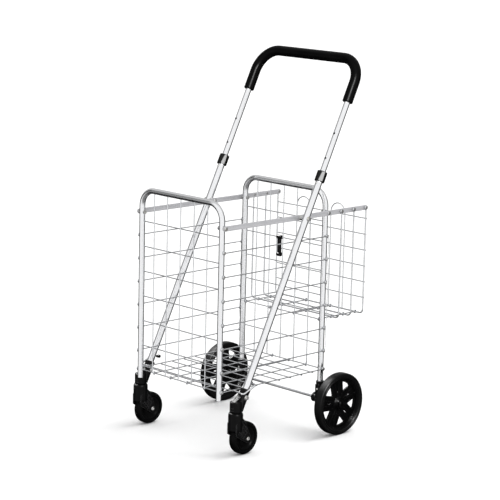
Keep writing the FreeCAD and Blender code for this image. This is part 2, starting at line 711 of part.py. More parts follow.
def caster_bracket_bolts():
    """Bolts that hold the brackets on the handle tubes: washer, head and nut."""
    seat = on_handle(BRACKET_BOLT_UP)
    face_y = HANDLE_Y + SLEEVE_R + PART_GAP
    washer_end = face_y + WASHER_THICKNESS
    nut_y = HANDLE_Y - SLEEVE_R - PART_GAP
    shank = cross_rod(seat.x, seat.z, nut_y - NUT_LENGTH - BOLT_TIP, face_y, BOLT_R)
    washer = cross_rod(seat.x, seat.z, face_y, washer_end, WASHER_R)
    head = hexagon_bar(seat.x, seat.z, washer_end, washer_end + BOLT_HEAD_LENGTH, 2 * BOLT_HEAD_R)
    nut = hexagon_bar(seat.x, seat.z, nut_y - NUT_LENGTH, nut_y, 2 * BOLT_HEAD_R)
    return mirrored_pair(fuse([shank, washer, head, nut]))


def fork_arm_outline():
    """Side view of an arm: from the swivel housing down round the axle boss."""
    points = [(CASTER_X + ARM_FRONT, ARM_FRONT_TOP_Z)]
    points += [(CASTER_X - back, z) for back, z in zip(ARM_SHOULDER_BACK, ARM_SHOULDER_Z)]
    first, last = ARM_BOSS_DEGREES
    for step in range(ARM_BOSS_STEPS + 1):
        angle = math.radians(first + (last - first) * step / ARM_BOSS_STEPS)
        points.append((CASTER_AXLE_X + ARM_BOSS_R * math.cos(angle),
                       CASTER_WHEEL_R + ARM_BOSS_R * math.sin(angle)))
    points.append((CASTER_X + ARM_FRONT, ARM_FRONT_BOTTOM_Z))
    return points


def fork_cells(face_y, inward):
    """Square pockets in an arm's outer face that leave a lattice of ribs."""
    along = vec(-1, 0, -1).normalize()
    across = vec(-1, 0, 1).normalize()
    corner = vec(CASTER_X - CELL_BACK, face_y, CELL_Z)
    cells = []
    for row in range(CELL_ROWS):
        for column in range(CELL_COLUMNS):
            centre = corner + along * (row * CELL_PITCH) + across * (column * CELL_PITCH)
            corners = [centre + along * (a * CELL_HALF) + across * (b * CELL_HALF)
                       for a, b in ((-1, -1), (1, -1), (1, 1), (-1, 1), (-1, -1))]
            face = Part.Face(Part.makePolygon(corners))
            cells.append(face.extrude(vec(0, inward * CELL_DEPTH, 0)))
    return cells


def caster_fork():
    """Swivel housing with two arms that straddle the caster wheel."""
    axle = vec(CASTER_AXLE_X, HANDLE_Y, CASTER_WHEEL_R)
    housing = upright(CASTER_X, HANDLE_Y, FORK_BOTTOM_Z, FORK_TOP_Z, FORK_R)
    housing = round_outer_end(housing, vec(CASTER_X, HANDLE_Y, FORK_TOP_Z), FORK_EDGE)
    reach = FORK_GAP + FORK_ARM
    arms = prism_y(fork_arm_outline(), HANDLE_Y - reach, HANDLE_Y + reach)
    wheel_room = disc(axle, CASTER_WHEEL_R + WHEEL_ROOM, 2 * FORK_GAP)
    arm_room = Part.makeBox(4 * FORK_GAP, 2 * FORK_GAP, CASTER_WHEEL_R,
                            vec(CASTER_AXLE_X - 2 * FORK_GAP, HANDLE_Y - FORK_GAP,
                                CASTER_WHEEL_R - FORK_GAP))
    axle_room = disc(axle, CASTER_AXLE_R + SEAT_GAP, 4 * FORK_GAP)
    stem_room = upright(CASTER_X, HANDLE_Y, STEM_BOTTOM_Z, FORK_TOP_Z, STEM_R + SEAT_GAP)
    cells = fork_cells(HANDLE_Y + reach, -1) + fork_cells(HANDLE_Y - reach, 1)
    return fuse([housing, arms]).cut([wheel_room, arm_room, axle_room, stem_room] + cells)


def caster_stem():
    """Steel stem, fixed in the fork, that turns in the bracket's socket."""
    return upright(CASTER_X, HANDLE_Y, STEM_BOTTOM_Z + PART_GAP, STEM_TOP_Z, STEM_R)


def caster_tyre():
    centre = vec(CASTER_AXLE_X, HANDLE_Y, CASTER_WHEEL_R)
    tyre = disc(centre, CASTER_WHEEL_R, CASTER_WHEEL_WIDTH, CASTER_SHOULDER)
    return tyre.cut(disc(centre, CASTER_WHEEL_R - CASTER_TREAD, CASTER_WHEEL_WIDTH))


def caster_hub():
    """Hub disc with a raised boss on both faces."""
    centre = vec(CASTER_AXLE_X, HANDLE_Y, CASTER_WHEEL_R)
    width = CASTER_WHEEL_WIDTH - 2 * HUB_INSET
    web = disc(centre, CASTER_WHEEL_R - CASTER_TREAD - SEAT_GAP, width)
    hollow = disc(centre, HUB_RECESS_R, width).cut(
        disc(centre, HUB_RECESS_R, width - 2 * HUB_RECESS))
    boss = disc(centre, CASTER_BOSS_R, 2 * FORK_GAP - 2 * PART_GAP)
    hub = web.cut(hollow).fuse(boss)
    return hub.cut(disc(centre, CASTER_AXLE_R + RUNNING_GAP, 3 * FORK_GAP))


def caster_axle():
    """Round-headed axle bolt through a fork."""
    reach = FORK_GAP + FORK_ARM + PART_GAP
    centre = vec(CASTER_AXLE_X, HANDLE_Y, CASTER_WHEEL_R)
    parts = [disc(centre, CASTER_AXLE_R, 2 * reach)]
    for end in SIDES:
        middle = centre + ALONG_Y * (end * (reach + CASTER_AXLE_HEAD_LENGTH / 2))
        parts.append(disc(middle, CASTER_AXLE_HEAD_R, CASTER_AXLE_HEAD_LENGTH))
    return fuse(parts)


# --- Rear wheels ---

def rear_tyre():
    centre = vec(REAR_X, REAR_WHEEL_Y, REAR_WHEEL_R)
    tyre = disc(centre, REAR_WHEEL_R, REAR_WHEEL_WIDTH, REAR_SHOULDER)
    return tyre.cut(disc(centre, RIM_R, REAR_WHEEL_WIDTH))


def rim_point(centre, radius, angle):
    return (centre.x + radius * math.cos(angle), centre.z + radius * math.sin(angle))


def window_outline(centre, middle):
    """Triangle with its apex towards the hub and a base that follows the rim."""
    return [rim_point(centre, WINDOW_APEX, middle),
            rim_point(centre, WINDOW_BASE, middle - WINDOW_SPREAD),
            rim_point(centre, WINDOW_BASE / math.cos(WINDOW_SPREAD / 2), middle),
            rim_point(centre, WINDOW_BASE, middle + WINDOW_SPREAD)]


def spoke_slot_outline(centre, spoke):
    """Narrow rectangle along the middle of a spoke."""
    side_x = -SPOKE_SLOT_HALF * math.sin(spoke)
    side_z = SPOKE_SLOT_HALF * math.cos(spoke)
    corners = []
    for radius, side in ((SPOKE_SLOT_INNER, -1), (SPOKE_SLOT_OUTER, -1),
                         (SPOKE_SLOT_OUTER, 1), (SPOKE_SLOT_INNER, 1)):
        x, z = rim_point(centre, radius, spoke)
        corners.append((x + side * side_x, z + side * side_z))
    return corners


def rim_openings(centre):
    """Five triangular windows, and a narrow slot in each spoke between them."""
    openings = []
    for index in range(SPOKE_COUNT):
        middle = FIRST_WINDOW + 2 * math.pi * index / SPOKE_COUNT
        for outline in (window_outline(centre, middle),
                        spoke_slot_outline(centre, middle + math.pi / SPOKE_COUNT)):
            openings.append(prism_y(outline, centre.y - SPOKE_DEPTH, centre.y + SPOKE_DEPTH))
    return openings


def rear_rim():
    """Deep rim: outer barrel, spoke disc set back from its rims, and hub."""
    centre = vec(REAR_X, REAR_WHEEL_Y, REAR_WHEEL_R)
    barrel = disc(centre, RIM_R - SEAT_GAP, RIM_WIDTH).cut(disc(centre, RIM_R - RIM_WALL, RIM_WIDTH))
    web = disc(centre - ALONG_Y * SPOKE_INSET, RIM_R - RIM_WALL / 2, SPOKE_DEPTH)
    hub_inner = REAR_WHEEL_Y - REAR_WHEEL_WIDTH / 2
    hub_outer = REAR_WHEEL_Y + HUB_REACH
    hub = cross_rod(REAR_X, REAR_WHEEL_R, hub_inner, hub_outer, HUB_R)
    rim = fuse([barrel, web]).cut(rim_openings(centre)).fuse(hub)
    return rim.cut(cross_rod(REAR_X, REAR_WHEEL_R, hub_inner, hub_outer, AXLE_R + RUNNING_GAP))


def rear_hub_cap():
    """Push-on cap that covers the end of the axle."""
    start_y = REAR_WHEEL_Y + HUB_REACH
    centre = vec(REAR_X, start_y + HUB_CAP_LENGTH / 2, REAR_WHEEL_R)
    cap = disc(centre, HUB_CAP_R, HUB_CAP_LENGTH)
    return round_edges(cap, HUB_CAP_EDGE, start_y + HUB_CAP_LENGTH)


def rear_axle():
    reach = REAR_WHEEL_Y + AXLE_REACH
    return cross_rod(REAR_X, REAR_WHEEL_R, -reach, reach, AXLE_R)


def axle_housing():
    """Plastic housing: socket for the rear leg above, cross boss for the axle below."""
    outer_y = REAR_WHEEL_Y - REAR_WHEEL_WIDTH / 2 - WHEEL_SIDE_GAP
    flange_y = HOUSING_INNER_Y + HOUSING_FLANGE_LENGTH
    socket = upright(REAR_X, LEG_Y, REAR_WHEEL_R, HOUSING_TOP_Z, HOUSING_R)
    boss = cross_rod(REAR_X, REAR_WHEEL_R, HOUSING_INNER_Y, outer_y, HOUSING_R)
    flange = cross_rod(REAR_X, REAR_WHEEL_R, HOUSING_INNER_Y, flange_y, HOUSING_FLANGE_R)
    leg_room = upright(REAR_X, LEG_Y, REAR_LEG_BOTTOM_Z - PART_GAP, HOUSING_TOP_Z,
                       FRAME_TUBE_R + SEAT_GAP)
    axle_room = cross_rod(REAR_X, REAR_WHEEL_R, HOUSING_INNER_Y, outer_y, AXLE_R + SEAT_GAP)
    screw_axis = vec(REAR_X, LEG_Y, SCREW_Z)
    screw_room = rod(screw_axis, screw_axis + vec(2 * HOUSING_R, 0, 0), SCREW_R + SEAT_GAP)
    return fuse([socket, boss, flange]).cut([leg_room, axle_room, screw_room])


def housing_screws():
    """Screws through the front of the housings into the rear legs."""
    face_x = REAR_X + HOUSING_R + PART_GAP
    face = vec(face_x, LEG_Y, SCREW_Z)
    head_end = vec(face_x + SCREW_HEAD_LENGTH, LEG_Y, SCREW_Z)
    shank = rod(vec(REAR_X + SCREW_TIP, LEG_Y, SCREW_Z), face, SCREW_R)
    head = round_outer_end(rod(face, head_end, SCREW_HEAD_R), head_end, SCREW_HEAD_EDGE)
    return mirrored_pair(shank.fuse(head))


# --- Fold clip ---

def fold_clip():
    """Clip that turns on a wire of the rear panel: barrel, tongue and open hook."""
    wire_z = TOP_WIRE_Z - ROW_PITCH
    start_y = CLIP_Y - CLIP_WIDTH / 2
    end_y = CLIP_Y + CLIP_WIDTH / 2
    barrel = cross_rod(REAR_X, wire_z, CLIP_Y - CLIP_BARREL_WIDTH / 2,
                       CLIP_Y + CLIP_BARREL_WIDTH / 2, CLIP_BARREL_R)
    hook_z = wire_z - CLIP_LENGTH
    tongue = Part.makeBox(CLIP_THICKNESS, CLIP_WIDTH, CLIP_LENGTH,
                          vec(REAR_X + CLIP_HOOK_R - CLIP_THICKNESS, start_y, hook_z))
    neck = Part.makeBox(CLIP_HOOK_R, CLIP_WIDTH, CLIP_THICKNESS,
                        vec(REAR_X, start_y, wire_z - CLIP_BARREL_R))
    hook = cross_rod(REAR_X, hook_z, start_y, end_y, CLIP_HOOK_R)
    body = fuse([barrel, tongue, neck, hook])
    opening = Part.makeBox(2 * CLIP_HOOK_R, 2 * CLIP_WIDTH, CLIP_OPENING,
                           vec(REAR_X - 2 * CLIP_HOOK_R, CLIP_Y - CLIP_WIDTH, hook_z))
    return body.cut([
        cross_rod(REAR_X, wire_z, -LEG_Y, LEG_Y, WIRE_R + RUNNING_GAP),
        cross_rod(REAR_X, hook_z, start_y, end_y, CLIP_HOOK_INNER_R),
        opening])


# --- Write every piece ---

def build():
    os.makedirs("parts", exist_ok=True)
    rows = panel_row_heights()
    save("rear_frame_tube", rear_frame_tube())
    save("rear_panel_wires", panel_wires(REAR_X, REAR_LEG_BOTTOM_Z, rows))
    save("rear_hook_pins", hook_pins(REAR_X))
    save("rear_rail_pins", rail_pins(REAR_X))
    save("hook_keeper_wires", hook_keeper_wires())
    save("front_frame_tube", frame_tube(FRONT_X, FRONT_LEG_BOTTOM_Z))
    front_rows = rows + [BOTTOM_WIRE_Z + EXTRA_WIRE_RISE]
    save("front_panel_wires", panel_wires(FRONT_X, FRONT_LEG_BOTTOM_Z, front_rows))
    save("front_hook_pins", hook_pins(FRONT_X))
    save("front_rail_pins", rail_pins(FRONT_X))
    for index, z in enumerate(side_wire_heights()):
        save("side_wires_%d" % (index + 1), side_wire(z))
    save("floor_grid", floor_grid())
    front_hanger_x, middle_hanger_x, _ = hanger_places()
    save("basket_hanger_front", hanger_loop(front_hanger_x))
    save("basket_hanger_middle", hanger_loop(middle_hanger_x))
    save("basket_back_panel", basket_back())
    save("basket_floor", basket_floor())
    save("hanger_rivets", hanger_rivets())
    save("handle_bar_tube", handle_bar_tube())
    save("handle_grip", handle_grip())
    save("handle_pivot_bolts", handle_pivot_bolts())
    save("handle_spacers", handle_spacers())
    save("guide_bails", guide_bails())
    save("bail_caps", bail_caps())
    save("caster_bracket_bolts", caster_bracket_bolts())
    save("rear_axle", rear_axle())
    save("housing_screws", housing_screws())
    save("fold_clip", fold_clip())
    save_both("side_rail", side_rail())
    save_both("lower_tube", lower_tube())
    save_both("handle_collar", handle_collar())
    save_both("snap_button", snap_button())
    save_both("caster_bracket", caster_bracket())
    save_both("caster_fork", caster_fork())
    save_both("caster_stem", caster_stem())
    save_both("caster_tyre", caster_tyre())
    save_both("caster_hub", caster_hub())
    save_both("caster_axle", caster_axle())
    save_both("rear_tyre", rear_tyre())
    save_both("rear_rim", rear_rim())
    save_both("rear_hub_cap", rear_hub_cap())
    save_both("axle_housing", axle_housing())


build()
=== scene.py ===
import json
import math

import bmesh
import bpy
from mathutils import Matrix, Vector
from mathutils.geometry import tessellate_polygon


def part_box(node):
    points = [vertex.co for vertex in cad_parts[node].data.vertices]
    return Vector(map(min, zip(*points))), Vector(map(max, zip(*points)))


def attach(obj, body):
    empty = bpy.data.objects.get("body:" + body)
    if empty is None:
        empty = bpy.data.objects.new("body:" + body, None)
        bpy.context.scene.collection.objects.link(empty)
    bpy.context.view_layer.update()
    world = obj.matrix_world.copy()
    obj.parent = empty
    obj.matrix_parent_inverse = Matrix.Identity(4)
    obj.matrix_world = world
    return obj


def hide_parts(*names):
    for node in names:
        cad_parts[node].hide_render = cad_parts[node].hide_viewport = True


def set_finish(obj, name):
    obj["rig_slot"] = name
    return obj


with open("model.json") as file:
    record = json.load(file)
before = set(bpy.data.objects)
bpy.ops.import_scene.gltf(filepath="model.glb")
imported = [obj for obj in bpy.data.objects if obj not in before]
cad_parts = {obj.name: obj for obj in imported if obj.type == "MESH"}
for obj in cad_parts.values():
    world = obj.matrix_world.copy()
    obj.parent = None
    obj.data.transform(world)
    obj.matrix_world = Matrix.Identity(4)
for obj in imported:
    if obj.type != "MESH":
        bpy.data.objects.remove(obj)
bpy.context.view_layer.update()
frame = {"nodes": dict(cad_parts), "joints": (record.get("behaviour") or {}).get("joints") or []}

# The looks of a folding shopping trolley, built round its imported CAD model, in the CAD frame:
# +X forward (towards the casters), +Y to the trolley's left, +Z up. Places are in metres, as in
# the frame. Sizes, outlines and profiles are in millimetres, and every mesh is scaled to metres
# when it is placed. Tubes and wires keep their CAD meshes and get drawn-metal materials. The
# moulded, rubber and fastener pieces are rebuilt here with rounded edges, ribs and mouldings,
# modelled on the left and mirrored to the right.

MM = 0.001
JOINTS = {joint["name"]: joint for joint in frame["joints"]}
SHARP_ANGLE = math.radians(32)
SNUG = 0.05                     # room round a part that sits tight
FREE = 0.1                      # room round a part that turns or slides

# --- Handle: places along it are measured up from its pivot ---
HANDLE_UP = Vector(JOINTS["handle_height"]["axis"]).normalized()
HANDLE_PIVOT = Vector(JOINTS["handle_pivot"]["pos_m"])
HANDLE_FRONT = Vector((HANDLE_UP.z, 0, -HANDLE_UP.x))
HANDLE_LEAN = math.atan2(-HANDLE_UP.x, HANDLE_UP.z)
HANDLE_Y = JOINTS["swivel_left"]["pos_m"][1]
HANDLE_CORNER = 463.5
HANDLE_BEND = 67.0
LOWER_TUBE_R = 9.5
UPPER_TUBE_R = 8.2
GRIP_R = 14.5
GRIP_REACH = 125.0
COLLAR_R = 14.0
COLLAR_BOTTOM = 106.5
COLLAR_LENGTH = 30.0
COLLAR_STEP = 125.3
BUTTON_UP = 100.0
BUTTON_R = 3.0
BUTTON_PROUD = 2.8

# --- Caster bracket, fork and wheel ---
SWIVEL = Vector(JOINTS["swivel_left"]["pos_m"])
CASTER_AXLE = Vector(JOINTS["caster_spin_left"]["pos_m"])
SLEEVE_R = 13.0
SLEEVE_TOP = -486.0
SLEEVE_BOTTOM = -541.0
BRACKET_BOLT_UP = -508.0
SOCKET_R = 16.5
SOCKET_HEIGHT = 30.0
STEM_R = 5.0
FORK_R = 20.0
FORK_HEIGHT = 48.5
FORK_TOP_DROP = 0.5             # housing top below the swivel plane
FORK_GAP = 14.0
FORK_ARM = 4.0
ARM_SKIN = 2.6                  # the arm's thickness at the bottom of its pockets
ARM_BOSS_R = 11.0
CASTER_WHEEL_R = 45.0
CASTER_WHEEL_WIDTH = 24.0
CASTER_TREAD = 10.0
CASTER_AXLE_R = 4.0
FIRST_CELL = Vector((-45, -1))  # middle of a pocket, as (up, forward) from the swivel point
LATTICE_PITCH = 8.0
LATTICE_HALF = 2.9
LATTICE_COLUMNS = ((-1, 4), (0, 4), (1, 4), (2, 3))   # (column, cells in it)

# --- Rear wheel ---
REAR_AXLE = Vector(JOINTS["rear_spin_left"]["pos_m"])
REAR_WHEEL_R = 87.0
REAR_WHEEL_WIDTH = 26.0
REAR_AXLE_R = 3.5
RIM_R = 74.0
RIM_WIDTH = 23.0
WEB_INNER = -5.0                # faces of the spoke disc, outward from the wheel's middle
WEB_OUTER = 1.0
SPOKE_COUNT = 5
FIRST_WINDOW = math.radians(-27)  # from straight up, towards the front
WINDOW_APEX = 34.5
WINDOW_BASE = 62.0
WINDOW_SPREAD = math.radians(15)
SLOT_INNER = 33.0
SLOT_OUTER = 47.0
SLOT_HALF = 1.7
RIB_TURN = math.radians(8.5)    # of a spoke's two ribs, from its middle
HUB_R = 13.0
HUB_OUTER = 9.0
HUB_CAP_R = 11.0
HUB_CAP_LENGTH = 4.0

# --- Axle housing ---
LEG_Y = 157.0
FRAME_TUBE_R = 8.0
HOUSING_R = 11.0
FLANGE_R = 13.5
HOUSING_INNER_Y = 135.0
HOUSING_OUTER_Y = 215.0
HOUSING_HEIGHT = 50.0           # above the axle
SCREW_RISE = 28.0

# --- Rails, fasteners and clip ---
BOLT_R = 3.0
BOLT_FLATS = 10.0
BOLT_HEAD_LENGTH = 3.6
WASHER_R = 7.0
WASHER_THICKNESS = 1.0
RAIL_HEIGHT = 14.0
PIN_R = 3.1
RIVET_HOLE_R = 2.05
CLIP_HOOK_UP = -49.0            # middle of the hook, from the clip's wire

# --- Camera ---
CAMERA_PLACE = (3.6503, 3.6798, 1.5218)
CAMERA_YAW = math.radians(-134.688)
CAMERA_PITCH = math.radians(-11.162)
CAMERA_ROLL = math.radians(1.316)
CAMERA_LENS = 137.4

# --- Light: directions are parts to the view's right, towards the camera and up ---
EVEN_STRENGTH = 0.87
WALL_STRENGTH = 1.3
WALL_TURN = math.radians(-2)
KEY_STRENGTH = 1.6
KEY_ANGLE = math.radians(38)
KEY_FROM = (0.75, -0.35, 1.3)
DARK_SLOTS = ("grip_rubber", "moulded_plastic", "wheel_tyre", "caster_tread")
DARK_NODES = ("bail_caps",)


# --- Outlines: closed lists of 2D points ---

def rounded(corners, steps=4):
    """Closed outline through (a, b, radius) corners, with an arc at each corner."""
    points = []
    for index, (a, b, radius) in enumerate(corners):
        corner = Vector((a, b))
        if not radius:
            points.append(corner)
            continue
        before = Vector(corners[index - 1][:2])
        after = Vector(corners[(index + 1) % len(corners)][:2])
        back = (before - corner).normalized()
        ahead = (after - corner).normalized()
        half_angle = back.angle(ahead) / 2
        setback = radius / math.tan(half_angle)
        centre = corner + (back + ahead).normalized() * (radius / math.sin(half_angle))
        first = corner + back * setback - centre
        last = corner + ahead * setback - centre
        start = math.atan2(first.y, first.x)
        turn = math.atan2(last.y, last.x) - start
        turn = (turn + math.pi) % (2 * math.pi) - math.pi
        for step in range(steps + 1):
            angle = start + turn * step / steps
            points.append(centre + Vector((math.cos(angle), math.sin(angle))) * radius)
    return points


def circle(radius, centre=(0, 0), count=32):
    angles = [2 * math.pi * step / count for step in range(count)]
    return [Vector((centre[0] + radius * math.cos(angle), centre[1] + radius * math.sin(angle)))
            for angle in angles]


def rectangle(a_low, b_low, a_high, b_high, radius=0.0, steps=4):
    return rounded([(a_low, b_low, radius), (a_high, b_low, radius),
                    (a_high, b_high, radius), (a_low, b_high, radius)], steps)


def area(outline):
    """Signed area: positive when the outline runs anticlockwise."""
    return sum(p.x * q.y - q.x * p.y for p, q in zip(outline, outline[1:] + outline[:1])) / 2


def grown(outline, distance):
    """The outline moved outward by a distance, or inward when it is negative."""
    side = 1 if area(outline) > 0 else -1
    moved = []
    for index, point in enumerate(outline):
        into = (point - outline[index - 1]).normalized()
        out = (outline[(index + 1) % len(outline)] - point).normalized()
        normal = Vector((into.y + out.y, -into.x - out.x)).normalized() * side
        spread = max(0.5, normal.dot(Vector((into.y, -into.x)) * side))
        moved.append(point + normal * (distance / spread))
    return moved


# --- Meshes: outlines and profiles are in millimetres, places and finished meshes in metres ---

def finished(bm):
    """Mesh datablock of a bmesh, without doubled points or loose edges, normals outward."""
    bmesh.ops.remove_doubles(bm, verts=bm.verts, dist=1e-6)
    loose = [edge for edge in bm.edges if not edge.link_faces]
    bmesh.ops.delete(bm, geom=loose, context="EDGES")
    bmesh.ops.recalc_face_normals(bm, faces=bm.faces)
    mesh = bpy.data.meshes.new("part")
    bm.to_mesh(mesh)
    bm.free()
    return mesh


def placed(bm, place):
    """Mesh of a bmesh that is in millimetres, moved to its place in metres."""
    bm.transform(place @ Matrix.Scale(MM, 4))
    return finished(bm)


def turned(profile, place, segments=64):
    """Closed mesh that a profile of (radius, height) makes about the place's Z axis."""
    bm = bmesh.new()
    rings = []
    for step in range(segments):
        angle = 2 * math.pi * step / segments
        rings.append([bm.verts.new((radius * math.cos(angle), radius * math.sin(angle), height))
                      for radius, height in profile])
    for ring, following in zip(rings, rings[1:] + rings[:1]):
        for index in range(len(profile)):
            other = (index + 1) % len(profile)
            bm.faces.new((ring[index], following[index], following[other], ring[other]))
    return placed(bm, place)


def rod(radius, low, high, place, segments=40):
    """Plain round bar along the place's Z axis, used to drill holes."""
    return turned([(0, low), (radius, low), (radius, high), (0, high)], place, segments)


def both_sides(half, middle=()):
    """Corners of (radius, height, edge) above the middle plane, any on it, and their mirror images."""
    return half + list(middle) + [(radius, -height, edge) for radius, height, edge in reversed(half)]


def plate(outline, holes, low, high, edge, place):
    """Flat plate between two heights, with holes; every edge is rounded by the edge radius."""
    if area(outline) < 0:
        outline = outline[::-1]
    loops = [outline] + [hole[::-1] if area(hole) > 0 else hole for hole in holes]
    levels = [(low, 0.0), (high, 0.0)]
    if edge:
        third = edge * (1 - math.cos(math.pi / 4))
        levels = [(low, edge), (low + third, third), (low + edge, 0.0),
                  (high - edge, 0.0), (high - third, third), (high, edge)]
    bm = bmesh.new()
    rings = []
    for height, inset in levels:
        ring = []
        for number, loop in enumerate(loops):
            moved = grown(loop, -inset if number == 0 else inset)
            ring.append([bm.verts.new((p.x, p.y, height)) for p in moved])
        rings.append(ring)
    for lower, upper in zip(rings, rings[1:]):
        for low_loop, high_loop in zip(lower, upper):
            count = len(low_loop)
            for index in range(count):
                other = (index + 1) % count
                bm.faces.new((low_loop[index], low_loop[other], high_loop[other], high_loop[index]))
    for ring in (rings[0], rings[-1]):
        flat = [vert for loop in ring for vert in loop]
        for corners in tessellate_polygon([[vert.co for vert in loop] for loop in ring]):
            if len(set(corners)) == 3:
                bm.faces.new([flat[index] for index in corners])
    return placed(bm, place)


def swept(path, radii, segments, across):
    """Round bar along a path that bends in the plane square to across, with a radius at each point."""
    bm = bmesh.new()
    rings = []
    for index, (point, radius) in enumerate(zip(path, radii)):
        tangent = (path[min(index + 1, len(path) - 1)] - path[max(index - 1, 0)]).normalized()
        side = across.cross(tangent).normalized()
        if rings and side.dot(last_side) < 0:
            side.negate()
        last_side = side
        other = tangent.cross(side)
        ring = []
        for step in range(segments):
            angle = 2 * math.pi * step / segments
            ring.append(bm.verts.new(point + side * (radius * math.cos(angle))
                                     + other * (radius * math.sin(angle))))
        rings.append(ring)
    for ring, following in zip(rings, rings[1:]):
        for index in range(segments):
            after = (index + 1) % segments
            bm.faces.new((ring[index], ring[after], following[after], following[index]))
    bm.faces.new(rings[0])
    bm.faces.new(rings[-1])
    return placed(bm, Matrix())


def bend_path(points, bend, steps):
    """Points along a polyline whose inner corners are arcs of one radius."""
    path = [points[0]]
    for before, corner, after in zip(points, points[1:], points[2:]):
        back = (before - corner).normalized()
        ahead = (after - corner).normalized()
        half_angle = back.angle(ahead) / 2
        setback = bend / math.tan(half_angle)
        centre = corner + (back + ahead).normalized() * (bend / math.sin(half_angle))
        first = corner + back * setback - centre
        last = corner + ahead * setback - centre
        for step in range(steps + 1):
            path.append(centre + first.slerp(last, step / steps).normalized() * bend)
    path.append(points[-1])
    return path


def temporary(mesh):
    obj = bpy.data.objects.new("part", mesh)
    bpy.context.scene.collection.objects.link(obj)
    return obj


def merged(meshes, cuts=(), within=()):
    """One closed mesh: the union of some meshes, less the cuts, kept only within others."""
    base = temporary(meshes[0])
    helpers = []
    for others, operation in ((meshes[1:], "UNION"), (cuts, "DIFFERENCE"), (within, "INTERSECT")):
        for mesh in others:
            helpers.append(temporary(mesh))
            modifier = base.modifiers.new(operation, "BOOLEAN")
            modifier.operation = operation
            modifier.solver = "EXACT"
            modifier.object = helpers[-1]
    bpy.context.view_layer.update()
    evaluated = base.evaluated_get(bpy.context.evaluated_depsgraph_get())
    result = bpy.data.meshes.new_from_object(evaluated)
    for obj in helpers + [base]:
        bpy.data.objects.remove(obj)
    return result


def joined(meshes):
    """One mesh that holds several separate shells."""
    bm = bmesh.new()
    for mesh in meshes:
        bm.from_mesh(mesh)
    return finished(bm)


def mirrored(mesh):
    """The mesh's twin on the trolley's right."""
    twin = mesh.copy()
    twin.transform(Matrix.Scale(-1, 4, (0, 1, 0)))
    twin.flip_normals()
    return twin


def piece(name, mesh, body, material, slot, replaced):
    """Adds a finished piece to the scene, riding on its body in place of its CAD node."""
    mesh = mesh.copy()
    mesh.name = name
    mesh.materials.clear()
    mesh.materials.append(material)
    mesh.shade_smooth()
    mesh.set_sharp_from_angle(angle=SHARP_ANGLE)
    obj = bpy.data.objects.new(name, mesh)
    bpy.context.scene.collection.objects.link(obj)
    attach(obj, body)
    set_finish(obj, slot)
    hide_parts(replaced)


def piece_pair(name, mesh, body, material, slot):
    """A left piece and its mirrored twin. A body name ending in _ takes the side's name."""
    for side, shape in (("left", mesh), ("right", mirrored(mesh))):
        rides_on = body + side if body.endswith("_") else body
        piece(name + "_" + side, shape, rides_on, material, slot, name + "_" + side)


def along(origin, axis):
    """Place with local Z along an axis."""
    turn = Vector(axis).to_track_quat("Z", "Y").to_matrix().to_4x4()
    return Matrix.Translation(origin) @ turn


def facing_left(origin):
    """Place on the trolley's side: local X is up, local Y is forward, local Z is left."""
    turn = Matrix(((0, 1, 0), (0, 0, 1), (1, 0, 0))).to_4x4()
    return Matrix.Translation(origin) @ turn


def on_handle(up, side=1):
    """Point on a handle tube's axis, some millimetres up from the handle's pivot."""
    return Vector((HANDLE_PIVOT.x, side * HANDLE_Y, HANDLE_PIVOT.z)) + HANDLE_UP * (up * MM)


def box_mm(node):
    return [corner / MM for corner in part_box(node)]


# --- Material nodes ---

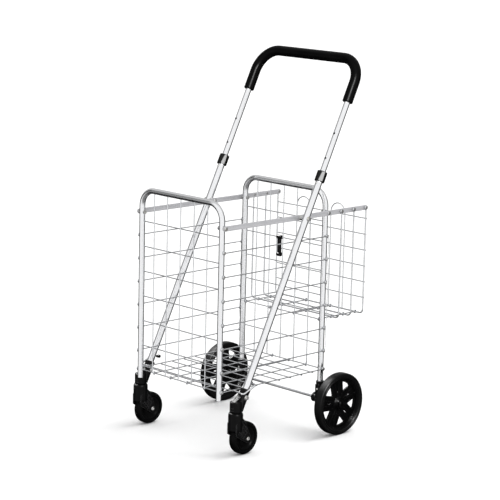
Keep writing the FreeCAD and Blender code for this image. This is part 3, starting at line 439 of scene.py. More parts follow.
class Shader:
    """Short calls for building one material's node tree."""

    def __init__(self, name):
        self.material = bpy.data.materials.new(name)
        self.material.use_nodes = True
        self.tree = self.material.node_tree
        self.surface = self.tree.nodes["Principled BSDF"]
        self.place = self.node("ShaderNodeTexCoord").outputs["Object"]

    def node(self, kind, inputs=None, **settings):
        made = self.tree.nodes.new(kind)
        for key, value in settings.items():
            setattr(made, key, value)
        for key, value in (inputs or {}).items():
            self.set(made.inputs[key], value)
        return made

    def set(self, socket, value):
        if isinstance(value, bpy.types.NodeSocket):
            self.tree.links.new(value, socket)
        else:
            socket.default_value = value

    def finish(self, colour, roughness, normal, **others):
        """The material, with its surface's inputs set; others are inputs such as Metallic."""
        inputs = {"Base Color": colour, "Roughness": roughness, "Normal": normal}
        for name, value in {**inputs, **others}.items():
            self.set(self.surface.inputs[name.replace("_", " ")], value)
        return self.material

    def stretched(self, scale, turn=0.0):
        """Object coordinates turned about Y, then scaled."""
        mapping = self.node("ShaderNodeMapping", {"Vector": self.place, "Scale": scale,
                                                  "Rotation": (0, turn, 0)}, vector_type="POINT")
        return mapping.outputs["Vector"]

    def noise(self, vector, scale, detail=3.0, roughness=0.55):
        made = self.node("ShaderNodeTexNoise", {"Vector": vector, "Scale": scale,
                                                "Detail": detail, "Roughness": roughness})
        return made.outputs["Fac"]

    def cells(self, vector, scale):
        made = self.node("ShaderNodeTexVoronoi", {"Vector": vector, "Scale": scale})
        return made.outputs["Distance"]

    def ranged(self, value, low, high, from_low=0.3, from_high=0.7):
        made = self.node("ShaderNodeMapRange", {"Value": value, "From Min": from_low,
                                                "From Max": from_high, "To Min": low, "To Max": high})
        return made.outputs["Result"]

    def mixed(self, factor, first, second):
        made = self.node("ShaderNodeMix", data_type="RGBA")
        self.set(made.inputs["Factor"], factor)
        for socket, value in ((made.inputs[6], first), (made.inputs[7], second)):
            self.set(socket, value if isinstance(value, bpy.types.NodeSocket) else (*value, 1))
        return made.outputs[2]

    def edges(self, radius, low=0.02, high=0.12):
        """0 on flat faces, 1 on convex and concave edges. The radius is in millimetres."""
        bevel = self.node("ShaderNodeBevel", {"Radius": radius * MM}, samples=4)
        flat = self.node("ShaderNodeNewGeometry").outputs["Normal"]
        dot = self.node("ShaderNodeVectorMath", operation="DOT_PRODUCT")
        self.set(dot.inputs[0], bevel.outputs["Normal"])
        self.set(dot.inputs[1], flat)
        return self.ranged(dot.outputs["Value"], 1.0, 0.0, 1 - high, 1 - low)

    def bump(self, height, strength, distance, below=None):
        made = self.node("ShaderNodeBump", {"Height": height, "Strength": strength, "Distance": distance})
        if below is not None:
            self.set(made.inputs["Normal"], below)
        return made.outputs["Normal"]


def drawn_metal(name, colour, shade, roughness, turn=0.0):
    """Plated or anodised tube: fine lines along the bar, faint clouds, a few small marks."""
    shader = Shader(name)
    fine = shader.noise(shader.stretched((900, 900, 12), turn), 1.0, 2.0)
    clouds = shader.noise(shader.place, 22.0, 4.0)
    marks = shader.noise(shader.stretched((260, 260, 60), turn), 1.0, 5.0, 0.7)
    base = shader.mixed(shader.ranged(clouds, 0, 1), shade, colour)
    scuffed = shader.mixed(shader.ranged(marks, 0.0, 0.3, 0.68, 0.76), base, shade)
    return shader.finish(scuffed, shader.ranged(fine, roughness - 0.03, roughness + 0.04),
                         shader.bump(fine, 0.10, 0.00004), Metallic=1.0)


def plated_wire(name, colour, shade, roughness):
    """Zinc-plated wire: slightly uneven plating with brighter and duller patches."""
    shader = Shader(name)
    patches = shader.noise(shader.place, 60.0, 4.0)
    grain = shader.noise(shader.place, 1400.0, 2.0)
    base = shader.mixed(shader.ranged(patches, 0, 1), shade, colour)
    return shader.finish(base, shader.ranged(patches, roughness + 0.05, roughness - 0.03),
                         shader.bump(grain, 0.08, 0.00003), Metallic=1.0)


def rail_paint():
    """Matt light grey flat bar: fine orange-peel coating, brighter at its edges."""
    shader = Shader("rail_grey")
    peel = shader.cells(shader.place, 900.0)
    clouds = shader.noise(shader.place, 35.0, 4.0)
    base = shader.mixed(shader.ranged(clouds, 0, 1), (0.52, 0.52, 0.54), (0.58, 0.58, 0.60))
    paler_edges = shader.mixed(shader.edges(0.6), base, (0.72, 0.72, 0.74))
    return shader.finish(paler_edges, shader.ranged(clouds, 0.42, 0.55), shader.bump(peel, 0.12, 0.0001),
                         Metallic=0.35)


def plated_fastener():
    """Bright plated steel with a faint warm cast and fine grain."""
    shader = Shader("plated_fastener")
    cast = shader.noise(shader.place, 120.0, 3.0)
    grain = shader.noise(shader.place, 2200.0, 2.0)
    base = shader.mixed(shader.ranged(cast, 0, 1), (0.82, 0.80, 0.74), (0.86, 0.87, 0.90))
    paler_edges = shader.mixed(shader.edges(0.3), base, (0.95, 0.95, 0.96))
    return shader.finish(paler_edges, shader.ranged(cast, 0.16, 0.28), shader.bump(grain, 0.18, 0.00005),
                         Metallic=1.0)


def black_plastic(name, colour, edge_highlight_colour, roughness, texture, texture_scale, shine):
    """Moulded black plastic or rubber: spark-eroded grain, soft variation, and edges made paler by a
    painted highlight.
    """
    shader = Shader(name)
    grain = shader.noise(shader.place, texture_scale, 3.0, 0.6)
    flow = shader.noise(shader.stretched((18, 18, 40)), 1.0, 4.0)
    lighter = tuple(value * 1.8 + 0.0006 for value in colour)
    base = shader.mixed(shader.ranged(flow, 0, 1), colour, lighter)
    # Convex and concave edges are mixed towards the edge colour: a painted highlight on every edge.
    paler_edges = shader.mixed(shader.edges(1.0), base, edge_highlight_colour)
    soft = shader.bump(flow, 0.05, 0.001)
    return shader.finish(paler_edges, shader.ranged(flow, roughness - 0.05, roughness + 0.07),
                         shader.bump(grain, texture, 0.00012, soft), IOR=1.5, Specular_IOR_Level=shine)


def polished_black():
    """Polished black collar: clear, mirror-like surface with faint moulding flow."""
    shader = Shader("polished_black")
    flow = shader.noise(shader.place, 90.0, 3.0)
    base = shader.mixed(shader.ranged(flow, 0, 1), (0.001, 0.001, 0.001), (0.003, 0.003, 0.003))
    return shader.finish(base, shader.ranged(flow, 0.07, 0.12), shader.bump(flow, 0.02, 0.0002),
                         IOR=1.5, Specular_IOR_Level=0.25)


def foam_tyre():
    """Closed-cell foam tyre: fine pores, faint mottling, soft sheen."""
    shader = Shader("foam_tyre")
    pores = shader.cells(shader.place, 1100.0)
    mottle = shader.noise(shader.place, 45.0, 5.0, 0.6)
    base = shader.mixed(shader.ranged(mottle, 0, 1), (0.0012, 0.0012, 0.0013),
                        (0.0032, 0.0032, 0.0034))
    soft = shader.bump(mottle, 0.06, 0.0004)
    return shader.finish(base, shader.ranged(mottle, 0.32, 0.44),
                         shader.bump(pores, 0.12, 0.0001, soft), Specular_IOR_Level=0.08)


# --- Pieces ---

def build_grip(material):
    """Soft sleeve over the top of the handle, drawn in to a lip at both ends."""
    leg_end = HANDLE_CORNER - GRIP_REACH
    corners = [on_handle(up, side) / MM for up, side in
               ((leg_end, -1), (HANDLE_CORNER, -1), (HANDLE_CORNER, 1), (leg_end, 1))]
    middle = bend_path(corners, HANDLE_BEND, 28)[1:-1]
    lip = [(0, 0), (0, 12.6), (0.25, 13.5), (0.9, 14.2), (2, GRIP_R), (6, GRIP_R)]
    start = [corners[0] + HANDLE_UP * reach for reach, _ in lip]
    end = [corners[3] + HANDLE_UP * reach for reach, _ in reversed(lip)]
    ends = [radius for _, radius in lip]
    radii = ends + [GRIP_R] * len(middle) + ends[::-1]
    mesh = swept(start + middle + end, radii, 40, HANDLE_FRONT)
    piece("handle_grip_sleeve", mesh, "handle_bar", material, "grip_rubber", "handle_grip")


def build_collars(material):
    """Glossy sleeves with rounded ends, stepped inside to fit both handle tubes."""
    top = COLLAR_BOTTOM + COLLAR_LENGTH
    bore = LOWER_TUBE_R + SNUG
    neck = UPPER_TUBE_R + FREE
    profile = rounded([(bore, COLLAR_BOTTOM, 0.4), (COLLAR_R, COLLAR_BOTTOM, 2.0), (COLLAR_R, top, 2.4),
                       (neck, top, 0.4), (neck, COLLAR_STEP, 0), (bore, COLLAR_STEP, 0)], 5)
    mesh = turned(profile, along(on_handle(0), HANDLE_UP), 72)
    piece_pair("handle_collar", mesh, "handle_legs", material, "glossy_plastic")


def build_buttons(material):
    """Domed snap buttons in the front of the lower tubes."""
    inner = UPPER_TUBE_R + FREE
    outer = LOWER_TUBE_R + BUTTON_PROUD
    profile = rounded([(0, inner, 0), (BUTTON_R, inner, 0.2), (BUTTON_R, outer, 1.9), (0, outer, 0)], 6)
    mesh = turned(profile, along(on_handle(BUTTON_UP), HANDLE_FRONT), 40)
    piece_pair("snap_button", mesh, "button_", material, "fastener")


def hex_bar(flats, length, chamfer, place):
    """Hexagonal head whose top corners are turned off in a cone."""
    radius = flats / math.sqrt(3)
    prism = plate(circle(radius, count=6), (), 0, length, 0, Matrix())
    cone = rounded([(0, -1, 0), (radius + 1, -1, 0), (radius + 1, length - 2 * chamfer, 0),
                    (flats / 2 - chamfer / 2, length, 0), (0, length, 0)])
    mesh = merged([prism], within=[turned(cone, Matrix(), 48)])
    mesh.transform(place)
    return mesh


def bolt(inner, nut_start, nut_end, seat, origin):
    """Bolt along Y: shank, nut inside, then washer on its seat and chamfered head outside."""
    across = (0, 1, 0)
    place = along((origin.x, 0, origin.z), across)
    washer_end = seat + WASHER_THICKNESS
    washer_bore = BOLT_R - 0.2
    shank = rounded([(0, inner, 0), (BOLT_R, inner, 0.5), (BOLT_R, seat, 0), (0, seat, 0)])
    washer = rounded([(washer_bore, seat, 0), (WASHER_R, seat, 0.25), (WASHER_R, washer_end, 0.35),
                      (washer_bore, washer_end, 0)])
    head = hex_bar(BOLT_FLATS, BOLT_HEAD_LENGTH, 0.7,
                   along((origin.x, washer_end * MM, origin.z), across))
    nut = hex_bar(BOLT_FLATS, nut_end - nut_start, 0.6,
                  along((origin.x, nut_end * MM, origin.z), (0, -1, 0)))
    return joined([turned(shank, place, 32), turned(washer, place, 48), head, nut])


def build_bolts(material):
    """Handle pivot bolts and bracket bolts, each a left and right set in one piece."""
    outer = box_mm("handle_pivot_bolts")[1].y
    rail = box_mm("side_rail_left")[0].y
    pivot = bolt(rail - 5, rail - 4, rail - SNUG, outer - BOLT_HEAD_LENGTH - WASHER_THICKNESS,
                 HANDLE_PIVOT)
    middle = HANDLE_Y / MM
    reach = SLEEVE_R + 0.3
    foot = bolt(middle - reach - 5, middle - reach - 4, middle - reach, middle + reach,
                on_handle(BRACKET_BOLT_UP))
    for name, left, body, node in (("pivot_bolt_set", pivot, "side_rails", "handle_pivot_bolts"),
                                   ("bracket_bolt_set", foot, "handle_legs", "caster_bracket_bolts")):
        piece(name, joined([left, mirrored(left)]), body, material, "fastener", node)


def build_rails(material):
    """Flat side rails with rounded ends, softened edges and their pin holes."""
    low, high = box_mm("side_rail_left")
    half = RAIL_HEIGHT / 2
    front_x = JOINTS["front_frame_hinge"]["pos_m"][0] / MM
    rear_x = JOINTS["fold"]["pos_m"][0] / MM
    outline = rectangle(-half, low.x, half, high.x, half * 0.999, 10)
    holes = [circle(PIN_R, (0, x), 20) for x in (rear_x, front_x, HANDLE_PIVOT.x / MM)]
    spacing = (rear_x - low.x - half) / 3
    holes += [circle(RIVET_HOLE_R, (0, rear_x - spacing * step), 16) for step in (1, 2, 3)]
    place = facing_left((0, 0, (low.z + high.z) / 2 * MM))
    mesh = plate(outline, holes, low.y, high.y, 0.45, place)
    piece_pair("side_rail", mesh, "side_rails", material, "rail_steel")


def build_brackets(material):
    """Plastic feet: sloping sleeve with a lip, ribbed gusset and slotted swivel socket."""
    sloping = along(on_handle(0), HANDLE_UP)
    upright = Matrix.Translation(SWIVEL)
    bolt_place = along(on_handle(BRACKET_BOLT_UP), (0, 1, 0))
    lip = SLEEVE_R + 0.7
    sleeve = rounded([(0, SLEEVE_BOTTOM, 0), (SLEEVE_R, SLEEVE_BOTTOM, 1), (SLEEVE_R, SLEEVE_TOP - 7, 0.3),
                      (lip, SLEEVE_TOP - 6.5, 0.3), (lip, SLEEVE_TOP, 1.2), (0, SLEEVE_TOP, 0)])
    socket = rounded([(0, 0, 0), (SOCKET_R - 0.8, 0, 0.4), (SOCKET_R, 3, 0.5),
                      (SOCKET_R, SOCKET_HEIGHT, 2.2), (0, SOCKET_HEIGHT, 0)])
    boss = rounded([(0, LOWER_TUBE_R, 0), (8.5, LOWER_TUBE_R, 0), (8, SLEEVE_R, 0.6), (0, SLEEVE_R, 0)])
    gusset = rounded([(54, -24, 2), (26, 14, 2), (0.3, 14, 0), (0.3, -20, 2)])
    parts = [turned(sleeve, sloping, 56), turned(socket, upright, 56), turned(boss, bolt_place, 40)]
    for low, high, reach in ((-8, 8, 0), (-6.2, -4.2, 0.6), (4.2, 6.2, 0.6)):
        parts.append(plate(grown(gusset, reach), (), low, high, 0.7, facing_left(SWIVEL)))
    cuts = [rod(LOWER_TUBE_R + SNUG, -530, -480, sloping, 56),
            rod(STEM_R + FREE, -1, 25, upright),
            rod(BOLT_R + FREE, -30, 30, bolt_place, 32),
            plate(rectangle(-70, -40, 60, 40), (), -50, 0, 0, upright)]
    for rise in (7.5, 14.5):
        slot = rectangle(-6.5, -1.3, 6.5, 1.3, 1.1)
        place = along(SWIVEL + Vector((SOCKET_R - 2.2, 0, rise)) * MM, (1, 0, 0))
        cuts.append(plate(slot, (), 0, 5, 0, place))
    piece_pair("caster_bracket", merged(parts, cuts), "handle_legs", material, "moulded_plastic")


def arm_outline():
    """Side of a fork arm, as (up, forward) from the swivel point, down to the axle boss."""
    axle = (CASTER_AXLE - SWIVEL) / MM
    corners = [(-30, 13, 1.5), (-13, -9, 2), (-21, -18, 2)]
    for step in range(9):
        angle = math.radians(160 + step * 17)
        corners.append((axle.z + ARM_BOSS_R * math.sin(angle), axle.x + ARM_BOSS_R * math.cos(angle), 0))
    corners.append((-60, 13, 2.5))
    return rounded(corners)


def lattice_cells():
    """Pockets of the arm: a diagonal grid of squares below one slanted panel."""
    along_arm = Vector((-1, -1)).normalized()
    across_arm = Vector((1, -1)).normalized()
    cells = []
    for column, count in LATTICE_COLUMNS:
        for row in range(count):
            centre = FIRST_CELL + (along_arm * row + across_arm * column) * LATTICE_PITCH
            corners = []
            for a, b in ((-1, -1), (1, -1), (1, 1), (-1, 1)):
                point = centre + (along_arm * a + across_arm * b) * LATTICE_HALF
                corners.append((point.x, point.y, 0.6))
            cells.append(rounded(corners, 2))
    panel = [(-43, 9.5), (-33.5, 9.5), (-19.5, -6.5), (-23, -13), (-28.5, -8.5), (-35.5, -2.5)]
    cells.append(rounded([(up, ahead, 0.8) for up, ahead in panel], 2))
    return cells


def build_forks(material):
    """Caster forks: lipped swivel housing and two arms with raised ribs over pockets."""
    top = -FORK_TOP_DROP
    bottom = top - FORK_HEIGHT
    upright = Matrix.Translation(SWIVEL)
    spin = along(CASTER_AXLE, (0, 1, 0))
    housing = rounded([(0, bottom, 0), (FORK_R - 1, bottom, 0.5), (FORK_R, bottom + 3, 1),
                       (FORK_R, top - 5, 1.5), (FORK_R - 1.4, top, 1.6), (0, top, 0)])
    inner = FORK_GAP
    outer = FORK_GAP + FORK_ARM
    skin = FORK_GAP + ARM_SKIN
    boss = rounded([(0, inner, 0), (9.2, inner, 0), (9.2, outer, 0.4), (7.4, outer, 0.3),
                    (7.4, outer - 0.7, 0.2), (0, outer - 0.7, 0)])
    parts = [turned(housing, upright)]
    for sign in (1, -1):
        for low, high, holes in ((inner, skin, ()), (skin - 0.4, outer, lattice_cells())):
            ends = sorted((sign * low, sign * high))
            parts.append(plate(arm_outline(), holes, *ends, 0.35, facing_left(SWIVEL)))
        parts.append(turned(boss, along(CASTER_AXLE, (0, sign, 0)), 40))
    wheel_room = rod(CASTER_WHEEL_R + 3, -inner, inner, spin, 96)
    stem_hole = rod(STEM_R + SNUG, -22.7, 1, upright)
    axle_hole = rod(CASTER_AXLE_R + SNUG, -30, 30, spin, 32)
    mesh = merged(parts, [wheel_room, stem_hole, axle_hole])
    piece_pair("caster_fork", mesh, "caster_swivel_", material, "moulded_plastic")


def build_caster_wheels(tread_material, hub_material):
    """Caster tyres with a parting ridge, and hubs with a dished web and ring steps."""
    half = CASTER_WHEEL_WIDTH / 2
    crown = CASTER_WHEEL_R - 0.3
    seat = CASTER_WHEEL_R - CASTER_TREAD
    place = along(CASTER_AXLE, (0, 1, 0))
    tyre = [(seat, half - 1.4, 0), (seat + 1.2, half, 0.8), (seat + 3, half, 0.3),
            (seat + 3.4, half - 0.6, 0.2), (seat + 4.2, half - 0.6, 0.2), (crown, half - 0.4, 5.2),
            (crown, 0.9, 0.2), (CASTER_WHEEL_R, 0.45, 0.15)]
    mesh = turned(rounded(both_sides(tyre), 6), place, 96)
    piece_pair("caster_tyre", mesh, "caster_wheel_", tread_material, "caster_tread")
    hub = [(CASTER_AXLE_R + FREE, 13.7, 0.2), (8.4, 13.7, 0.6), (9.6, 8, 1), (12.5, 6.2, 0.6),
           (26, 6.2, 1.2), (28.2, 8.6, 0.4), (30, 8.6, 0.3), (30.6, 9.6, 0.3), (seat - SNUG, 9.6, 0.5)]
    mesh = turned(rounded(both_sides(hub), 3), place, 80)
    piece_pair("caster_hub", mesh, "caster_wheel_", hub_material, "moulded_plastic")


def build_caster_axles(material):
    """Round-headed axle bolts with a domed, recessed head at both ends."""
    head = 18.3
    end = [(0, 19.7, 0), (2, 19.7, 0.2), (2.5, 20.4, 0.3), (5.5, 20.4, 1.3), (5.5, head, 0.2),
           (CASTER_AXLE_R, head, 0)]
    mesh = turned(rounded(both_sides(end), 4), along(CASTER_AXLE, (0, 1, 0)), 40)
    piece_pair("caster_axle", mesh, "caster_swivel_", material, "fastener")


def build_rear_tyres(material):
    """Square-shouldered foam tyres with a moulded groove in each sidewall."""
    half = REAR_WHEEL_WIDTH / 2
    side = [(RIM_R, half - 1.6, 0), (RIM_R + 1.2, half - 0.4, 0.8), (RIM_R + 4.6, half - 0.2, 0.4),
            (RIM_R + 5, half - 0.7, 0.3), (RIM_R + 5.8, half - 0.7, 0.3), (RIM_R + 6.2, half, 0.4),
            (REAR_WHEEL_R - 0.3, half, 4.6)]
    profile = rounded(both_sides(side, [(REAR_WHEEL_R, 0, 0)]), 8)
    mesh = turned(profile, along(REAR_AXLE, (0, 1, 0)), 160)
    piece_pair("rear_tyre", mesh, "rear_wheel_", material, "wheel_tyre")


def polar(radius, angle):
    """(up, forward) of a point about the axle, with the angle from straight up."""
    return Vector((radius * math.cos(angle), radius * math.sin(angle)))


def window_outline(angle, grow=0.0):
    """Triangular window with its apex towards the hub and an arched base."""
    corners = [polar(WINDOW_APEX, angle)]
    for share in (-1, -0.5, 0, 0.5, 1):
        corners.append(polar(WINDOW_BASE, angle + share * WINDOW_SPREAD))
    radii = (1.6, 1.4, 0, 0, 0, 1.4)
    return rounded([(point.x, point.y, radius and radius + grow)
                    for point, radius in zip(grown(corners, grow), radii)], 4)


def spoke_strip(angle, start, end, half_width, corner_radius, steps):
    """Narrow strip that runs outward along a spoke."""
    middle = polar(1, angle)
    side = Vector((-middle.y, middle.x)) * half_width
    corners = [middle * start - side, middle * end - side, middle * end + side, middle * start + side]
    return rounded([(point.x, point.y, corner_radius) for point in corners], steps)


def rim_barrel():
    """Profile of the deep rim: a lip and two steps on both sides of the spoke disc."""
    half = RIM_WIDTH / 2
    outer = RIM_R - SNUG
    steps = [(0, 0, 0.4), (1.6, 0, 0.5), (2, 1.4, 0.3), (3, 1.4, 0.4), (3.5, 3.4, 0.4),
             (4.6, 3.6, 0.5), (5.2, 6.4, 0.4), (6.4, 6.6, 0.5)]
    front = [(outer - inset, half - drop, edge) for inset, drop, edge in steps]
    back = [(radius, -height, edge) for radius, height, edge in reversed(front[:4])]
    seat = outer - 6.8
    return rounded(front + [(seat, WEB_OUTER, 0), (seat, WEB_INNER, 0)] + back, 3)


def rim_hub():
    """Profile of the hub: long boss that flares where it meets the spoke disc."""
    inner = -REAR_WHEEL_WIDTH / 2
    flare = 20
    return rounded([(0, inner, 0), (HUB_R, inner, 0.8), (HUB_R, WEB_INNER - 2, 1.5),
                    (flare, WEB_INNER, 0.5), (flare, WEB_OUTER, 0.5),
                    (HUB_R + 2.5, WEB_OUTER + 3.5, 1.5), (HUB_R, HUB_OUTER, 0.9), (0, HUB_OUTER, 0)])


def build_rear_rims(material):
    """Deep rims: stepped barrel, spoke disc with framed windows and slots, flared hub."""
    place = facing_left(REAR_AXLE)
    spin = along(REAR_AXLE, (0, 1, 0))
    half_pitch = math.pi / SPOKE_COUNT
    windows = [FIRST_WINDOW + 2 * half_pitch * step for step in range(SPOKE_COUNT)]
    spokes = [angle + half_pitch for angle in windows]
    holes = [window_outline(angle) for angle in windows]
    holes += [spoke_strip(angle, SLOT_INNER, SLOT_OUTER, SLOT_HALF, 1.5, 4) for angle in spokes]
    raised = []
    for angle in windows:
        raised.append((window_outline(angle, 1.5), [grown(window_outline(angle), 0.3)]))
        boss = polar(27.5, angle)
        raised.append((circle(4.2, boss, 24), [circle(2.4, boss, 20)]))
    for angle in spokes:
        for turn in (-RIB_TURN, RIB_TURN):
            raised.append((spoke_strip(angle + turn, 22, RIM_R - 6, 0.9, 0.6, 3), ()))
    parts = [turned(rim_barrel(), spin, 160),
             plate(circle(RIM_R - 3, count=120), holes, WEB_INNER, WEB_OUTER, 0.6, place)]
    parts += [plate(outline, inside, WEB_INNER + 1, WEB_OUTER + 1.2, 0.4, place)
              for outline, inside in raised]
    parts.append(turned(rim_hub(), spin, 72))
    mesh = merged(parts, [rod(REAR_AXLE_R + FREE, -30, 30, spin)])
    piece_pair("rear_rim", mesh, "rear_wheel_", material, "moulded_plastic")


def build_hub_caps(material):
    """Push-on caps with a domed face and a ring groove."""
    start = HUB_OUTER
    end = HUB_OUTER + HUB_CAP_LENGTH
    profile = rounded([(0, start, 0), (HUB_CAP_R, start, 0.3), (HUB_CAP_R, end - 0.3, 1.3),
                       (8.6, end - 0.1, 0.3), (8.3, end - 0.8, 0.2), (7.5, end - 0.8, 0.2),
                       (7.2, end - 0.1, 0.3), (0, end, 0)], 4)
    mesh = turned(profile, along(REAR_AXLE, (0, 1, 0)), 56)
    piece_pair("rear_hub_cap", mesh, "rear_wheel_", material, "moulded_plastic")


def build_housings(material):
    """Sockets for the rear legs: lipped upright tube on a flanged cross boss."""
    leg = Vector((REAR_AXLE.x, LEG_Y * MM, REAR_AXLE.z))
    upright = Matrix.Translation(leg)
    across = along(leg, (0, 1, 0))
    lip = HOUSING_R + 0.8
    low = HOUSING_INNER_Y - LEG_Y
    high = HOUSING_OUTER_Y - LEG_Y
    socket = rounded([(0, 0, 0), (HOUSING_R, 0, 0), (HOUSING_R, HOUSING_HEIGHT - 7, 0.4),
                      (lip, HOUSING_HEIGHT - 6.4, 0.4), (lip, HOUSING_HEIGHT, 1.2), (0, HOUSING_HEIGHT, 0)])
    boss = rounded([(0, low, 0), (FLANGE_R, low, 1), (FLANGE_R, low + 4, 0.8),
                    (HOUSING_R, low + 4.6, 0.6), (HOUSING_R, high, 1.2), (0, high, 0)])
    rib_top = HOUSING_HEIGHT - 9
    rib = rounded([(rib_top, 0.4, 0.5), (rib_top, 12.2, 1), (-6, 12.2, 1), (-6, 0.4, 0.5)])
    parts = [turned(socket, upright, 56), turned(boss, across, 56)]
    for offset in (-6.5, 6.5):
        parts.append(plate(rib, (), offset - 0.9, offset + 0.9, 0.4, facing_left(leg)))
    screw_place = along(leg + Vector((0, 0, SCREW_RISE)) * MM, (1, 0, 0))
    cuts = [rod(FRAME_TUBE_R + SNUG, 12.7, HOUSING_HEIGHT + 5, upright, 56),
            rod(REAR_AXLE_R + SNUG, -70, 70, across),
            rod(1.65, 0, 30, screw_place, 24)]
    piece_pair("axle_housing", merged(parts, cuts), "rear_frame", material, "moulded_plastic")


def clip_hook_outline():
    """Side of the clip, as (up, forward) from its wire: straight shank and open hook."""
    points = [(-3.6, 2.4), (-43.5, 2.4)]
    for radius, first, turn, count in ((6.4, 50, -15, 18), (3.0, -205, 15, 19)):
        for step in range(count):
            angle = math.radians(first + turn * step)
            points.append((CLIP_HOOK_UP + radius * math.sin(angle), radius * math.cos(angle)))
    points += [(-44.5, -2.4), (-3.6, -2.4)]
    return [Vector((up, -ahead)) for up, ahead in reversed(points)]


def build_clip(material):
    """Fold clip: rounded barrel on a wire of the rear panel, shank and open hook."""
    low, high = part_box("fold_clip")
    hinge = JOINTS["clip_hinge"]["pos_m"]
    place = Vector((hinge[0], (low.y + high.y) / 2, hinge[2]))
    barrel = rounded(both_sides([(1.6, 9.8, 0.3), (5.6, 9.8, 1.8)]))
    rib = rectangle(-40, 1, -8, 3.4, 0.5)
    parts = [turned(barrel, along(place, (0, 1, 0)), 48),
             plate(clip_hook_outline(), (), -6.6, 6.6, 0.7, facing_left(place)),
             plate(rib, (), -1.1, 1.1, 0.4, facing_left(place))]
    piece("fold_clip_body", merged(parts), "clip", material, "moulded_plastic", "fold_clip")


# --- Carried-over CAD nodes ---

def dress(material, *nodes):
    """Gives CAD nodes a material, keeping their meshes."""
    for name in nodes:
        obj = frame["nodes"][name]
        for slot in obj.material_slots:
            slot.material = material
        if not obj.material_slots:
            obj.data.materials.append(material)


# --- Studio ---

def build_floor():
    """Pale floor that fills the view; reflections see the studio instead of it."""
    bm = bmesh.new()
    bmesh.ops.create_grid(bm, x_segments=1, y_segments=1, size=60.0)
    mesh = bpy.data.meshes.new("studio_floor")
    bm.to_mesh(mesh)
    bm.free()
    shader = Shader("studio_floor")
    tone = shader.mixed(shader.noise(shader.place, 30.0), (0.96, 0.96, 0.96), (0.98, 0.98, 0.98))
    shader.set(shader.surface.inputs["Base Color"], tone)
    shader.set(shader.surface.inputs["Roughness"], 0.9)
    mesh.materials.append(shader.material)
    floor = bpy.data.objects.new("studio_floor", mesh)
    bpy.context.scene.collection.objects.link(floor)
    floor.visible_glossy = False


def camera_axes():
    """The camera's right, up and forward directions."""
    forward = Vector((math.cos(CAMERA_PITCH) * math.cos(CAMERA_YAW),
                      math.cos(CAMERA_PITCH) * math.sin(CAMERA_YAW), math.sin(CAMERA_PITCH)))
    level = forward.cross(Vector((0, 0, 1))).normalized()
    above = level.cross(forward)
    right = level * math.cos(CAMERA_ROLL) + above * math.sin(CAMERA_ROLL)
    up = above * math.cos(CAMERA_ROLL) - level * math.sin(CAMERA_ROLL)
    return right, up, forward


def build_camera():
    right, up, forward = camera_axes()
    camera = bpy.data.cameras.new("camera")
    camera.lens = CAMERA_LENS
    camera.sensor_width = 36.0
    camera.clip_end = 200.0
    obj = bpy.data.objects.new("camera", camera)
    turn = Matrix((right, up, -forward)).transposed().to_4x4()
    obj.matrix_world = Matrix.Translation(CAMERA_PLACE) @ turn
    bpy.context.scene.collection.objects.link(obj)
    bpy.context.scene.camera = obj


def view_direction(across, towards, up):
    """Direction given as parts to the view's right, towards the camera and up."""
    right, _, forward = camera_axes()
    side = Vector((right.x, right.y, 0)).normalized()
    back = Vector((-forward.x, -forward.y, 0)).normalized()
    return side * across + back * towards + Vector((0, 0, up))


def build_world():
    """Even white light; reflections see a front wall, a ceiling, and a back dark below eye level."""
    world = bpy.data.worlds.new("studio")
    world.use_nodes = True
    tree = world.node_tree
    tree.nodes.clear()
    links = tree.links

    def ramp(value, from_low, from_high, low, high):
        made = tree.nodes.new("ShaderNodeMapRange")
        made.interpolation_type = "SMOOTHSTEP"
        limits = (("From Min", from_low), ("From Max", from_high), ("To Min", low), ("To Max", high))
        for key, limit in limits:
            made.inputs[key].default_value = limit
        links.new(value, made.inputs["Value"])
        return made.outputs["Result"]

    def combined(operation, first, second):
        made = tree.nodes.new("ShaderNodeMath")
        made.operation = operation
        links.new(first, made.inputs[0])
        links.new(second, made.inputs[1])
        return made.outputs["Value"]

    place = tree.nodes.new("ShaderNodeTexCoord").outputs["Generated"]
    dot = tree.nodes.new("ShaderNodeVectorMath")
    dot.operation = "DOT_PRODUCT"
    dot.inputs[1].default_value = Matrix.Rotation(WALL_TURN, 3, "Z") @ view_direction(0, 1, 0)
    links.new(place, dot.inputs[0])
    ahead = dot.outputs["Value"]
    split = tree.nodes.new("ShaderNodeSeparateXYZ")
    links.new(place, split.inputs[0])
    height = split.outputs["Z"]
    wall = combined("MULTIPLY", ramp(ahead, -0.12, 0.26, 0.06, WALL_STRENGTH),
                    ramp(height, -0.62, -0.24, 0.22, 1.0))
    back = combined("MULTIPLY", ramp(ahead, -0.5, -0.25, 1.0, 0.0), ramp(height, -0.12, 0.2, 0.0, 0.72))
    above = combined("MAXIMUM", back, ramp(height, 0.25, 0.75, 0.0, 0.85))
    even = tree.nodes.new("ShaderNodeBackground")
    even.inputs["Strength"].default_value = EVEN_STRENGTH
    even.inputs["Color"].default_value = (1, 1, 1, 1)
    seen = tree.nodes.new("ShaderNodeBackground")
    links.new(combined("MAXIMUM", wall, above), seen.inputs["Strength"])
    mix = tree.nodes.new("ShaderNodeMixShader")
    path = tree.nodes.new("ShaderNodeLightPath")
    links.new(path.outputs["Is Glossy Ray"], mix.inputs["Fac"])
    links.new(even.outputs["Background"], mix.inputs[1])
    links.new(seen.outputs["Background"], mix.inputs[2])
    output = tree.nodes.new("ShaderNodeOutputWorld")
    links.new(mix.outputs["Shader"], output.inputs["Surface"])
    bpy.context.scene.world = world


def build_key():
    """Broad sun from behind on the right; its soft shadows fall to the left."""
    light = bpy.data.lights.new("key", "SUN")
    light.energy = KEY_STRENGTH
    light.angle = KEY_ANGLE
    obj = bpy.data.objects.new("key", light)
    obj.matrix_world = (-view_direction(*KEY_FROM)).to_track_quat("-Z", "Y").to_matrix().to_4x4()
    obj.visible_glossy = False
    bpy.context.scene.collection.objects.link(obj)


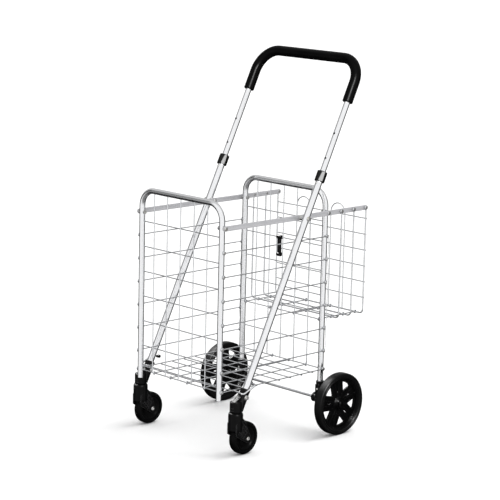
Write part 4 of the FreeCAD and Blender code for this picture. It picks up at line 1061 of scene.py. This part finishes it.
def add_softbox(name, offset, target, size, power, objects):
    """Area light that only adds highlights, on the given objects, aimed at a target."""
    light = bpy.data.lights.new(name, "AREA")
    light.shape = "RECTANGLE"
    light.size, light.size_y = size
    light.energy = power
    obj = bpy.data.objects.new(name, light)
    place = target + view_direction(*offset)
    turn = (target - place).to_track_quat("-Z", "Y").to_matrix().to_4x4()
    obj.matrix_world = Matrix.Translation(place) @ turn
    obj.visible_diffuse = False
    bpy.context.scene.collection.objects.link(obj)
    receivers = bpy.data.collections.new(name + "_receivers")
    for lit in objects:
        receivers.objects.link(lit)
    obj.light_linking.receiver_collection = receivers


def build_lights():
    """The key, and softboxes that put highlights on the black parts."""
    build_key()
    pieces = [obj for obj in bpy.context.scene.objects if obj.type == "MESH"]
    dark = [obj for obj in pieces if obj.get("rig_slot") in DARK_SLOTS or obj.name in DARK_NODES]
    grips = [obj for obj in dark if obj.get("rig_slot") == "grip_rubber"]
    tyres = [obj for obj in dark if obj.name.startswith("rear_tyre")]
    wheels = [obj for obj in dark if obj.name.startswith(("rear_rim", "rear_tyre", "rear_hub_cap"))]
    low = [obj for obj in dark if obj not in grips + tyres]
    collars = [obj for obj in pieces if obj.name.startswith("handle_collar_")]
    base = Vector((0, 0, 0.1))
    bar = on_handle(HANDLE_CORNER, 0)
    neck = on_handle(COLLAR_BOTTOM, 0)
    add_softbox("left_softbox", (-2.2, -2.0, 3.0), base, (1.8, 1.3), 1300.0, low)
    add_softbox("tyre_softbox", (-1.6, -1.2, 3.2), base, (2.4, 1.8), 420.0, tyres)
    add_softbox("front_softbox", (1.4, 3.0, 1.8), base, (1.0, 2.0), 110.0, low)
    add_softbox("wheel_softbox", (0.9, 2.2, 2.6), base, (0.7, 0.7), 900.0, wheels)
    add_softbox("grip_softbox", (0.1, 2.8, 1.3), bar, (0.5, 1.8), 330.0, grips)
    add_softbox("collar_softbox", (0.62, 1.82, 0.56), neck, (3.6, 1.6), 480.0, collars)


# --- The whole scene ---

def build_pieces():
    # The second colour given to each black plastic is a painted highlight on its edges.
    plastic = black_plastic("moulded_black", (0.0012, 0.0012, 0.0013), (0.095, 0.095, 0.098),
                            0.32, 0.16, 900.0, 0.09)
    hub_plastic = black_plastic("rim_black", (0.0006, 0.0006, 0.0007), (0.012, 0.012, 0.0125),
                                0.22, 0.1, 700.0, 0.06)
    grip = black_plastic("grip_black", (0.0008, 0.0008, 0.0009), (0.004, 0.004, 0.0042),
                         0.28, 0.08, 520.0, 0.05)
    tread = black_plastic("caster_tread_black", (0.0006, 0.0006, 0.0007), (0.006, 0.006, 0.0062),
                          0.26, 0.06, 600.0, 0.06)
    fastener = plated_fastener()
    build_grip(grip)
    build_collars(polished_black())
    build_buttons(fastener)
    build_bolts(fastener)
    build_rails(rail_paint())
    build_brackets(plastic)
    build_forks(plastic)
    build_caster_wheels(tread, hub_plastic)
    build_caster_axles(fastener)
    build_rear_tyres(foam_tyre())
    build_rear_rims(hub_plastic)
    build_hub_caps(hub_plastic)
    build_housings(plastic)
    build_clip(plastic)
    dress_nodes(plastic, fastener)


def dress_nodes(plastic, fastener):
    """Materials of the CAD nodes whose meshes are kept."""
    silver = (0.88, 0.885, 0.90)
    grey = (0.83, 0.835, 0.85)
    dress(drawn_metal("frame_silver", silver, grey, 0.18), "rear_frame_tube", "front_frame_tube")
    dress(drawn_metal("handle_silver", silver, grey, 0.14, HANDLE_LEAN), "lower_tube_left",
          "lower_tube_right", "handle_bar_tube")
    dress(plated_wire("zinc_wire", (0.80, 0.81, 0.83), (0.70, 0.71, 0.73), 0.2),
          "rear_panel_wires", "front_panel_wires", "floor_grid", "hook_keeper_wires",
          "basket_hanger_front", "basket_hanger_middle", "basket_back_panel", "basket_floor",
          *["side_wires_%d" % row for row in range(1, 7)])
    dress(plated_wire("bright_wire", (0.88, 0.89, 0.91), (0.78, 0.79, 0.81), 0.14),
          "guide_bails", "rear_axle")
    dress(fastener, "rear_hook_pins", "front_hook_pins", "rear_rail_pins", "front_rail_pins",
          "hanger_rivets", "handle_spacers", "housing_screws", "caster_stem_left", "caster_stem_right")
    dress(plastic, *DARK_NODES)


build_pieces()
build_floor()
build_camera()
build_world()
build_lights()
bpy.context.scene.view_settings.view_transform = "Standard"
